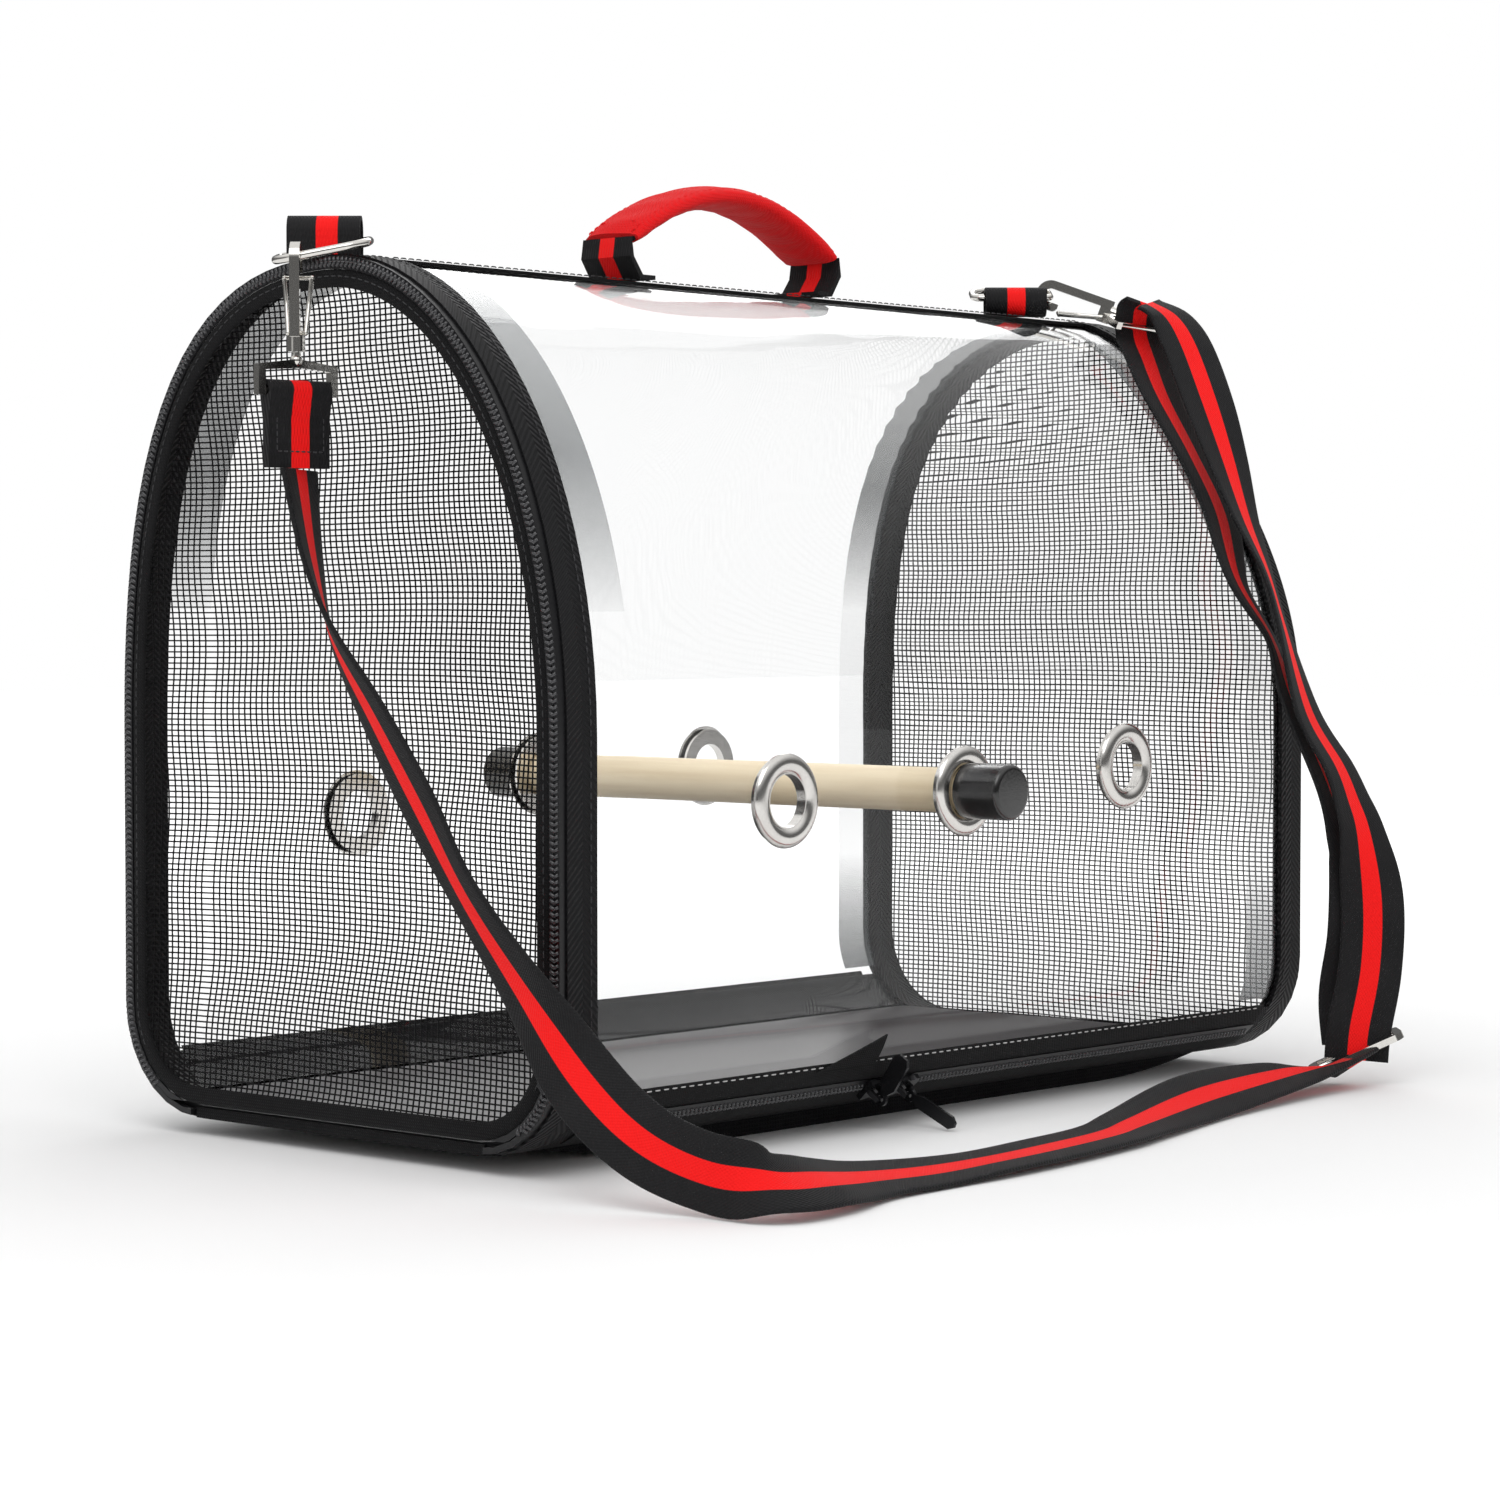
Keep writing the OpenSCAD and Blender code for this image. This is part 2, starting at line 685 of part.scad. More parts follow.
module racetrack(depth, r) {
  for (s = [-1, 1]) translate([s * depth / 2, r]) circle(r = r, $fn = 40);
  translate([-depth / 2, 0]) square([depth, 2 * r]);
}

// Near loop: an arch of webbing that stands on the crest with both its feet sewn down
module near_loop() {
  r = 6;
  color(black) translate(near_loop_at - 1.2 * along) rotate([0, 0, loop_turn - 90]) rotate([90, 0, 90])
    linear_extrude(webbing_w, center = true) difference() {
      union() {
        translate([0, near_loop_h - r]) circle(r = r, $fn = 40);
        translate([-r, 0]) square([2 * r, near_loop_h - r]);
      }
      translate([0, near_loop_h - r]) circle(r = r - webbing_t, $fn = 40);
      translate([-r + webbing_t, -1]) square([2 * (r - webbing_t), near_loop_h - r + 1]);
    }
}

module far_loop() { color(black) webbing_loop(far_loop_at - 2.6 * outward, 11.6, 8); }

// Quarter bend of the ring's wire in its own plane
module wire_bend(at, r, turn) {
  translate([at[0], at[1], 0]) rotate([0, 0, turn])
    rotate_extrude(angle = 90, $fn = 64) translate([r, 0]) circle(r = wire_r, $fn = 32);
}

module wire_run(a, b) {
  d = b - a;
  translate([a[0], a[1], 0]) rotate([0, 0, atan2(d[1], d[0])]) rotate([0, 90, 0])
    cylinder(h = norm(d), r = wire_r, $fn = 32);
}

// Ring bent from wire: bar along X, body towards +Y, in the plane Z = 0
module bent_ring() {
  a = ring_half;
  b = ring_reach;
  s = ring_small_r;
  g = ring_big_r;
  wire_run([-a + s, 0], [a - s, 0]);
  wire_run([a, s], [a, b - g]);
  wire_run([a - g, b], [-a + g, b]);
  wire_run([-a, b - g], [-a, s]);
  wire_bend([a - s, s], s, -90);
  wire_bend([a - g, b - g], g, 0);
  wire_bend([-a + g, b - g], g, 90);
  wire_bend([-a + s, s], s, 180);
}

module near_ring() {
  color(metal) translate(near_bar_at) rotate([0, 0, loop_turn - 90 + 180])
    rotate([-near_ring_tilt, near_ring_roll, 0]) bent_ring();
}

module far_ring() {
  color(metal) translate(far_bar_at) rotate([0, 0, loop_turn - 90])
    rotate([far_ring_tilt, 0, 0]) bent_ring();
}

// Snap hook, hanging along -Z from a wire through its origin along Y.
// The spine is on the -X side, the nose and the gate on the +X side.
hook_in = 2.8;
hook_out = 6.2;
hook_base_z = -26;
barrel_z = -31;
gate_pin = [1.2, -24.5];
gate_r = 0.8;

module hook_body() {
  rotate([90, 0, 0]) linear_extrude(hook_t, center = true) difference() {
    union() {
      circle(r = hook_out, $fn = 64);
      translate([-hook_out, hook_base_z]) square([hook_out - hook_in, -hook_base_z]);
      translate([-hook_out, hook_base_z]) square([hook_out + 3.4, 5]);
      translate([4.5, -2.2]) circle(r = 1.7, $fn = 32);
      translate([2.8, -2.2]) square([3.4, 2.2]);
    }
    circle(r = hook_in, $fn = 48);
    translate([-hook_in, -20]) square([2 * hook_in, 20]);
    translate([-hook_in, -20]) square([hook_in + 8, 15.9]);
    translate(gate_pin) circle(r = gate_r + 0.1, $fn = 24);
  }
  translate([-1.4, 0, barrel_z]) cylinder(h = hook_base_z - barrel_z + 0.4, r = 3.1, $fn = 40);
}

// Round rod between two points
module rod(a, b, r) {
  d = b - a;
  translate(a) rotate([0, acos(d[2] / norm(d)), atan2(d[1], d[0])])
    cylinder(h = norm(d), r = r, $fn = 24);
}

// Sprung wire gate: a pin through the hook's foot, two legs and a top that shuts the mouth
module gate_wire() {
  pin = [gate_pin[0], 0, gate_pin[1]];
  low = 2.9;
  high = 4.6;
  top = [6.1, 0, -5.6];
  rod(pin - [0, low, 0], pin + [0, low, 0], gate_r);
  for (s = [-1, 1]) {
    rod(pin + [0, s * low, 0], top + [0, s * high, 0], gate_r);
    translate(pin + [0, s * low, 0]) sphere(r = gate_r + 0.15, $fn = 24);
    translate(top + [0, s * high, 0]) sphere(r = gate_r + 0.15, $fn = 24);
  }
  rod(top - [0, high, 0], top + [0, high, 0], gate_r);
}

// Swivel eye: a stem in the hook's barrel and a bail with the bar that the webbing goes round
module swivel_eye(turn, tilt) {
  stem = [-1.4, 0, barrel_z - 0.1];
  neck = [-1.4, 0, barrel_z - 3];
  rod(neck, stem, 1.6);
  outer = eye_half + 1.4;
  inner = eye_half - 1.4;
  shoulder = -eye_drop * 0.25;
  eye_place(turn, tilt) {
    sphere(r = 2.2, $fn = 32);
    rotate([90, 0, 90]) linear_extrude(3, center = true)
      polygon([[-1.2, 0.4], [1.2, 0.4], [outer, shoulder + 1], [outer, -eye_drop - 1.8],
        [inner, -eye_drop - 1.8], [inner, shoulder - 0.9], [0, -2.4], [-inner, shoulder - 0.9],
        [-inner, -eye_drop - 1.8], [-outer, -eye_drop - 1.8], [-outer, shoulder + 1]]);
    rod([0, -eye_half, -eye_drop], [0, eye_half, -eye_drop], 1.3);
  }
}

eye_drop = hook_l + barrel_z - 3;

module eye_place(turn, tilt) {
  translate([-1.4, 0, barrel_z - 3]) rotate([0, 0, turn]) rotate([tilt, 0, 0]) children();
}

module near_place() { translate(near_hook_at) rotate([0, 0, loop_turn]) children(); }

module far_place() {
  translate(far_hook_at) rotate([0, 0, far_hook_yaw]) rotate([0, far_hook_droop - 90, 0])
    rotate([0, 0, 180]) children();
}

module near_hook() { color(metal) near_place() hook_body(); }

module near_gate() { color(metal) near_place() gate_wire(); }

module near_eye() { color(metal) near_place() swivel_eye(near_eye_turn, 0); }

module far_hook() { color(metal) far_place() hook_body(); }

module far_gate() { color(metal) far_place() gate_wire(); }

module far_eye() { color(metal) far_place() swivel_eye(far_eye_turn, far_eye_tilt); }

// Sewn end of the strap: the webbing goes round the eye's bar and is stitched to itself
module near_strap_end() {
  r = 1.9;
  s = webbing_t + 0.1;
  color(black) near_place() eye_place(near_eye_turn, 0) translate([0, 0, -eye_drop])
    rotate([90, 0, 0]) linear_extrude(webbing_w, center = true) difference() {
      polygon(concat([for (a = [0:12:180]) (r + webbing_t) * [cos(a), sin(a)]],
        [[-s, -10], [-s, -26], [s, -26], [s, -10]]));
      circle(r = r, $fn = 40);
    }
}

// A point on the smooth curve through four route rows, t from 0 to 1 between b and c
function curve(a, b, c, d, t) =
  0.5 * ((2 * b) + (c - a) * t + (2 * a - 5 * b + 4 * c - d) * t * t
    + (3 * b - a - 3 * c + d) * t * t * t);

function smooth(route) = let (n = len(route) - 1) concat(
  [for (i = [0:n - 1], j = [0:route_steps - 1])
    curve(route[max(i - 1, 0)], route[i], route[i + 1], route[min(i + 2, n)], j / route_steps)],
  [route[n]]);

function place(row) = [row[0], row[1], row[2]];

function unit(v) = v / norm(v);

// Corners of the webbing's section at row i of a smoothed route
function section(rows, i) =
  let (
    n = len(rows) - 1,
    p = place(rows[i]),
    along_route = unit(place(rows[min(i + 1, n)]) - place(rows[max(i - 1, 0)])),
    given = [rows[i][3], rows[i][4], rows[i][5]],
    across = unit(given - (given * along_route) * along_route),
    face = cross(along_route, across),
    w = webbing_w / 2 * across,
    t = webbing_t / 2 * face
  )
  [p - w - t, p + w - t, p + w + t, p - w + t];

// Flat webbing swept along a route
module webbing(route) {
  rows = smooth(route);
  n = len(rows);
  points = [for (i = [0:n - 1]) each section(rows, i)];
  sides = [for (i = [0:n - 2], k = [0:3])
    let (a = 4 * i + k, b = 4 * i + (k + 1) % 4)
    each [[a, a + 4, b], [b, a + 4, b + 4]]];
  last = 4 * (n - 1);
  caps = [[0, 1, 2], [0, 2, 3], [last + 2, last + 1, last], [last + 3, last + 2, last]];
  polyhedron(points, concat(sides, caps));
}

module strap_front() { color(red) webbing(front_route); }

module strap_rise() { color(red) webbing(rise_route); }

module strap_return() { color(red) webbing(return_route); }

// Adjuster: a flat rounded frame with a bar across its middle
module adjuster_place() {
  translate(adjuster_at) rotate([0, 0, adjuster_turn]) rotate([0, adjuster_roll, 0]) children();
}

module adjuster_frame() {
  color(metal) adjuster_place() linear_extrude(adjuster_t, center = true) difference() {
    rounded_2d(adjuster_w, adjuster_l, 4);
    rounded_2d(adjuster_w - 6.4, adjuster_l - 6.4, 1.2);
  }
}

module rounded_2d(w, l, r) {
  for (x = [-1, 1], y = [-1, 1])
    translate([x * (w / 2 - r), y * (l / 2 - r)]) circle(r = r, $fn = 40);
  square([w, l - 2 * r], center = true);
  square([w - 2 * r, l], center = true);
}

module adjuster_bar() {
  color(metal) adjuster_place() rotate([0, 90, 0])
    cylinder(h = adjuster_w - 6.6, r = 1.3, center = true, $fn = 32);
}

clear_shell();
base_tray();
floor_board();
crest_tape();
near_binding();
near_hoop();
near_zip_outer();
near_hinge_tape();
door_zip_inner();
door_border();
door_mesh();
door_slider();
door_pull();
far_binding();
far_hoop();
far_border();
far_mesh();
front_zip_upper();
front_zip_lower();
front_zip_chain();
zip_tab();
slider_left();
pull_left();
slider_right();
pull_right();
back_hem();
eyelet_front_near();
eyelet_front_middle();
eyelet_front_far();
eyelet_back_near();
eyelet_back_middle();
eyelet_back_far();
perch_dowel();
perch_cap_front();
perch_cap_back();
handle_sleeve();
handle_webbing();
handle_foot_near();
handle_foot_far();
near_loop();
near_ring();
near_hook();
near_gate();
near_eye();
near_strap_end();
far_loop();
far_ring();
far_hook();
far_gate();
far_eye();
strap_front();
strap_rise();
strap_return();
adjuster_frame();
adjuster_bar();
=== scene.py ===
"""Looks of the bird travel carrier: camera and light, strap, mesh panels, zips, stitching and finishes."""
import json
import logging
import math
from dataclasses import dataclass, field
from enum import Enum
from typing import Callable, Sequence

import bpy
from mathutils import Matrix, Vector

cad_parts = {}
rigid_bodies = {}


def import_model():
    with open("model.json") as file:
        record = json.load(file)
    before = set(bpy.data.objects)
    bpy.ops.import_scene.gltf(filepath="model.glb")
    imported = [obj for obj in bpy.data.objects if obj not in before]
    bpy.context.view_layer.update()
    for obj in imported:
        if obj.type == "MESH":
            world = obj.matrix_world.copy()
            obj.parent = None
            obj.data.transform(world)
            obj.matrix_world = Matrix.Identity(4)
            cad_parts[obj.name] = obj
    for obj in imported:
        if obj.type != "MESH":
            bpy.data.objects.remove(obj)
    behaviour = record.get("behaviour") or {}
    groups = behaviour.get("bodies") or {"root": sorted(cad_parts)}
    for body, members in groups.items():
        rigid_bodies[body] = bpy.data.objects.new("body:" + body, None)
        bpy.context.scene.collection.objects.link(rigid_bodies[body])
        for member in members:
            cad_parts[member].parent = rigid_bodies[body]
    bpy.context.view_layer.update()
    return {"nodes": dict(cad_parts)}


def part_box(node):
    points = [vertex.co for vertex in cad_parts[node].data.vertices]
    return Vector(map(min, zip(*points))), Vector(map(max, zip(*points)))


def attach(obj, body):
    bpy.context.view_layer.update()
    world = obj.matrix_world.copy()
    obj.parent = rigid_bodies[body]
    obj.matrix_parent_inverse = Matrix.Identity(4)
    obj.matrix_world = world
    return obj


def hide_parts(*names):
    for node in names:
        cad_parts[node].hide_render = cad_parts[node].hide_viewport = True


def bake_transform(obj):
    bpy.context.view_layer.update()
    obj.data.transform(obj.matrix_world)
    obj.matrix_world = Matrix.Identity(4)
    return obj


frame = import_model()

log = logging.getLogger("carrier")

Rgb = tuple[float, float, float]
Point = tuple[float, float, float]
Row = tuple[float, float, float, float, float, float]
Outline = list[tuple[float, float]]
Ring = Callable[[int, Vector, Vector], list[Vector]]

FLOAT, COLOR, VECTOR = "NodeSocketFloat", "NodeSocketColor", "NodeSocketVector"
ALONG = Vector((1, 0, 0))
UP = Vector((0, 0, 1))
SPRING_Z = 0.145  # where the walls turn into the arch
ARCH_RADIUS = 0.135  # mean radius of the arch, for patterns that follow it
MIDDLE_Z = 0.14  # a height well inside both ends
MERGE_WITHIN = 0.000004
STITCH_SIDES = 6
BORDER_SIDES = 14


class End(Enum):
    """The two ends of the tunnel: the value is how much the front shoulder is drawn in."""

    DOOR = 0.0
    SEWN = 1.0


class Body(Enum):
    """The bodies that pieces move with."""

    SHELL = "shell"
    DOOR = "door"
    DOOR_TAB = "door_tab"
    HANDLE = "handle"
    NEAR_CLIP = "near_clip"
    NEAR_LATCH = "near_latch"
    NEAR_SWIVEL = "near_swivel"
    FAR_CLIP = "far_clip"
    FAR_LATCH = "far_latch"
    FAR_SWIVEL = "far_swivel"
    ZIP_LEFT = "zip_left"
    ZIP_RIGHT = "zip_right"
    TAB_LEFT = "tab_left"
    TAB_RIGHT = "tab_right"
    PERCH = "perch"
    CAP_FRONT = "cap_front"
    CAP_BACK = "cap_back"


# ---------------------------------------------------------------- shader helpers


class Graph:
    """Short way to add and join the nodes of one shader tree."""

    def __init__(self, tree: bpy.types.NodeTree) -> None:
        """Keeps the tree that the nodes go into."""
        self.tree = tree

    def link(self, source: bpy.types.NodeSocket, target: bpy.types.NodeSocket) -> None:
        """Joins an output to an input."""
        self.tree.links.new(source, target)

    def add(self, kind: str, settings: dict | None = None, inputs: dict | None = None) -> bpy.types.Node:
        """Adds one node.

        Args:
            kind: the node's type name.
            settings: properties to set on it.
            inputs: values, or sockets to link, by input name or number.

        Returns:
            The new node.
        """
        node = self.tree.nodes.new(kind)
        for name, value in (settings or {}).items():
            setattr(node, name, value)
        for name, value in (inputs or {}).items():
            if isinstance(value, bpy.types.NodeSocket):
                self.link(value, node.inputs[name])
            else:
                node.inputs[name].default_value = value
        return node

    def sum(self, operation: str, a: object, b: object = 0.0, c: float | None = None,
            clamp: bool = False) -> bpy.types.NodeSocket:
        """Adds a Math node.

        Args:
            operation: its operation, such as MULTIPLY.
            a: first number or socket.
            b: second number or socket.
            c: third number, where the operation takes one.
            clamp: whether the result stays between 0 and 1.

        Returns:
            Its output socket.
        """
        inputs = {0: a, 1: b} if c is None else {0: a, 1: b, 2: c}
        return self.add("ShaderNodeMath", {"operation": operation, "use_clamp": clamp}, inputs).outputs[0]

    def vector(self, operation: str, a: object, b: object = (0.0, 0.0, 0.0)) -> bpy.types.Node:
        """Adds a Vector Math node."""
        return self.add("ShaderNodeVectorMath", {"operation": operation}, {0: a, 1: b})

    def xyz(self, vector: bpy.types.NodeSocket) -> bpy.types.NodeOutputs:
        """Splits a vector and hands out its X, Y and Z."""
        return self.add("ShaderNodeSeparateXYZ", inputs={0: vector}).outputs

    def mix(self, factor: object, a: object, b: object) -> bpy.types.NodeSocket:
        """Mixes two colours, a at 0 and b at 1."""
        return self.add("ShaderNodeMix", {"data_type": "RGBA"}, {0: factor, 6: a, 7: b}).outputs[2]

    def group(self, tree: bpy.types.NodeTree, **inputs: object) -> bpy.types.NodeOutputs:
        """Adds a node group and hands out its outputs."""
        return self.add("ShaderNodeGroup", {"node_tree": tree}, inputs).outputs

    def tone(self, at: bpy.types.NodeSocket, color: Rgb, worn: Rgb, amount: float,
             scale: float) -> bpy.types.NodeOutputs:
        """Adds the uneven tone of a used surface.

        Args:
            at: the point's socket.
            color: colour of the fresh surface.
            worn: colour of the worn patches.
            amount: how much of it is worn.
            scale: how fine the patches are.

        Returns:
            The group's outputs.
        """
        return self.group(tone_group(), Vector=at, Color=(*color, 1), Worn=(*worn, 1), Amount=amount,
                          Scale=scale)


def shared_group(name: str, inputs: Sequence[tuple[str, str, object]], outputs: Sequence[tuple[str, str]],
                 fill: Callable[[Graph, bpy.types.Node, bpy.types.Node], None]) -> bpy.types.NodeTree:
    """Builds a shader node group once and hands it out again later.

    Args:
        name: the group's name.
        inputs: name, socket type and default of each input.
        outputs: name and socket type of each output.
        fill: adds the group's nodes, given its graph and its input and output nodes.

    Returns:
        The group's tree.
    """
    if name in bpy.data.node_groups:
        return bpy.data.node_groups[name]
    tree = bpy.data.node_groups.new(name, "ShaderNodeTree")
    for label, kind, value in inputs:
        socket = tree.interface.new_socket(label, in_out="INPUT", socket_type=kind)
        if value is not None:
            socket.default_value = value
    for label, kind in outputs:
        tree.interface.new_socket(label, in_out="OUTPUT", socket_type=kind)
    graph = Graph(tree)
    fill(graph, graph.add("NodeGroupInput"), graph.add("NodeGroupOutput"))
    return tree


def weave_group() -> bpy.types.NodeTree:
    """Crossed threads: the height of a plain woven cloth.

    Returns:
        The group, with Vector and Pitch in and Height out.
    """
    def fill(g: Graph, start: bpy.types.Node, end: bpy.types.Node) -> None:
        """Adds the nodes."""
        x, y, z = g.xyz(start.outputs["Vector"])
        turns = g.sum("DIVIDE", 2 * math.pi, start.outputs["Pitch"])
        one = g.sum("SINE", g.sum("MULTIPLY", g.sum("ADD", x, z), turns))
        two = g.sum("SINE", g.sum("MULTIPLY", g.sum("SUBTRACT", y, z), turns))
        g.link(g.sum("MULTIPLY_ADD", g.sum("MAXIMUM", one, two), 0.5, 0.5), end.inputs["Height"])

    return shared_group("plain_weave", [("Vector", VECTOR, None), ("Pitch", FLOAT, 0.001)],
                        [("Height", FLOAT)], fill)


def herringbone_group() -> bpy.types.NodeTree:
    """Slanting ribs that turn back at the tape's middle, running along the arch.

    Returns:
        The group, with Vector, Middle and Pitch in and Height out.
    """
    def fill(g: Graph, start: bpy.types.Node, end: bpy.types.Node) -> None:
        """Adds the nodes."""
        x, y, z = g.xyz(start.outputs["Vector"])
        up = g.sum("SUBTRACT", z, SPRING_Z)
        angle = g.sum("ARCTAN2", up, g.sum("ABSOLUTE", y))
        above = g.sum("GREATER_THAN", up, 0.0)
        along = g.add("ShaderNodeMix", {"data_type": "FLOAT"},
                      {0: above, 2: up, 3: g.sum("MULTIPLY", angle, ARCH_RADIUS)}).outputs[0]
        slant = g.sum("ABSOLUTE", g.sum("SUBTRACT", x, start.outputs["Middle"]))
        turns = g.sum("DIVIDE", 2 * math.pi, start.outputs["Pitch"])
        wave = g.sum("SINE", g.sum("MULTIPLY", g.sum("ADD", along, slant), turns))
        g.link(g.sum("MULTIPLY_ADD", wave, 0.5, 0.5), end.inputs["Height"])

    return shared_group("herringbone_ribs",
                        [("Vector", VECTOR, None), ("Middle", FLOAT, 0.0), ("Pitch", FLOAT, 0.0024)],
                        [("Height", FLOAT)], fill)


def tone_group() -> bpy.types.NodeTree:
    """Uneven tone of a used surface: soft patches and fine specks.

    Returns:
        The group, with Vector, Color, Worn, Amount and Scale in, Color and Rough out.
    """
    def fill(g: Graph, start: bpy.types.Node, end: bpy.types.Node) -> None:
        """Adds the nodes."""
        patches = g.add("ShaderNodeTexNoise", inputs={
            "Vector": start.outputs["Vector"], "Scale": start.outputs["Scale"], "Detail": 3.0})
        specks = g.add("ShaderNodeTexNoise", inputs={
            "Vector": start.outputs["Vector"], "Scale": 1400.0, "Detail": 1.0})
        both = g.sum("MULTIPLY", g.sum("ADD", patches.outputs[0], specks.outputs[0]), 0.5)
        share = g.sum("MULTIPLY", g.sum("MULTIPLY", g.sum("SUBTRACT", both, 0.35), 3.0),
                      start.outputs["Amount"], clamp=True)
        g.link(g.mix(share, start.outputs["Color"], start.outputs["Worn"]), end.inputs["Color"])
        g.link(share, end.inputs["Rough"])

    return shared_group("uneven_tone",
                        [("Vector", VECTOR, None), ("Color", COLOR, (0, 0, 0, 1)),
                         ("Worn", COLOR, (1, 1, 1, 1)), ("Amount", FLOAT, 0.5), ("Scale", FLOAT, 30.0)],
                        [("Color", COLOR), ("Rough", FLOAT)], fill)


def stripe_group() -> bpy.types.NodeTree:
    """The middle stripe of striped webbing, with a slightly woven edge.

    Returns:
        The group, with Across and Half in and Mask out.
    """
    def fill(g: Graph, start: bpy.types.Node, end: bpy.types.Node) -> None:
        """Adds the nodes."""
        reach = g.sum("SUBTRACT", start.outputs["Half"], g.sum("ABSOLUTE", start.outputs["Across"]))
        g.link(g.sum("MULTIPLY_ADD", reach, 4000.0, 0.5, clamp=True), end.inputs["Mask"])

    return shared_group("middle_stripe", [("Across", FLOAT, 0.0), ("Half", FLOAT, 0.0036)],
                        [("Mask", FLOAT)], fill)


def new_surface(name: str, constants: dict) -> tuple[bpy.types.Material, Graph, bpy.types.Node]:
    """Starts a material with a Principled BSDF.

    Args:
        name: the material's name.
        constants: plain values for the shader's sockets.

    Returns:
        The material, its graph and its shader.
    """
    material = bpy.data.materials.new("look_" + name)
    material.use_nodes = True
    graph = Graph(material.node_tree)
    shader = material.node_tree.nodes["Principled BSDF"]
    for label, value in constants.items():
        shader.inputs[label].default_value = value
    return material, graph, shader


def add_bump(g: Graph, shader: bpy.types.Node, height: bpy.types.NodeSocket, distance: float,
             strength: float = 1.0) -> None:
    """Gives a shader a bump.

    Args:
        g: the material's graph.
        shader: the shader that takes the normal.
        height: the socket that holds the height.
        distance: the bump's height in metres.
        strength: its strength.
    """
    bump = g.add("ShaderNodeBump", inputs={"Strength": strength, "Distance": distance, "Height": height})
    g.link(bump.outputs["Normal"], shader.inputs["Normal"])


def object_point(g: Graph) -> bpy.types.NodeSocket:
    """The Object coordinate's socket."""
    return g.add("ShaderNodeTexCoord").outputs["Object"]


# ---------------------------------------------------------------- finishes


@dataclass(frozen=True)
class Finish:
    """A named finish; each kind says how its material is made."""

    name: str

    def material(self) -> bpy.types.Material:
        """Returns the finish's material, made on first use."""
        label = "look_" + self.name
        if label in bpy.data.materials:
            return bpy.data.materials[label]
        return self.make()

    def make(self) -> bpy.types.Material:
        """Makes the material."""
        raise NotImplementedError

    def dress(self, piece: bpy.types.Object) -> None:
        """Puts this finish alone on a piece."""
        piece.data.materials.clear()
        piece.data.materials.append(self.material())


@dataclass(frozen=True)
class ClothFinish(Finish):
    """Plain woven cloth, with an uneven tone and threads as a bump."""

    color: Rgb = (0.004, 0.004, 0.0045)
    worn: Rgb = (0.013, 0.013, 0.014)
    pitch: float = 0.0011
    amount: float = 0.5
    rough: float = 0.82
    sheen: float = 0.04
    specular: float = 0.14

    def make(self) -> bpy.types.Material:
        """Makes the cloth."""
        m, g, s = new_surface(self.name, {"Roughness": self.rough, "Sheen Weight": self.sheen,
                                          "Sheen Roughness": 0.5, "Specular IOR Level": self.specular})
        at = object_point(g)
        tone = g.tone(at, self.color, self.worn, self.amount, 45.0)
        g.link(tone["Color"], s.inputs["Base Color"])
        weave = g.group(weave_group(), Vector=at, Pitch=self.pitch)
        add_bump(g, s, weave["Height"], self.pitch * 0.3, 0.7)
        return m


@dataclass(frozen=True)
class RibbedTapeFinish(Finish):
    """Herringbone tape folded round the ends of the tunnel."""

    middle: float = 0.0
    pitch: float = 0.0026
    color: Rgb = (0.004, 0.004, 0.0045)
    worn: Rgb = (0.014, 0.014, 0.015)

    def make(self) -> bpy.types.Material:
        """Makes the tape."""
        m, g, s = new_surface(self.name, {"Roughness": 0.55, "Sheen Weight": 0.03, "Sheen Roughness": 0.4,
                                          "Specular IOR Level": 0.22})
        at = object_point(g)
        ribs = g.group(herringbone_group(), Vector=at, Middle=self.middle, Pitch=self.pitch)
        tone = g.tone(at, self.color, self.worn, 0.4, 60.0)
        # Painted shade: the grooves between the ribs are mixed darker than the ridges.
        dark = g.mix(g.sum("MULTIPLY", ribs["Height"], 0.6), (0.004, 0.004, 0.005, 1),
                     tone["Color"])
        g.link(dark, s.inputs["Base Color"])
        add_bump(g, s, ribs["Height"], 0.0005, 0.8)
        return m


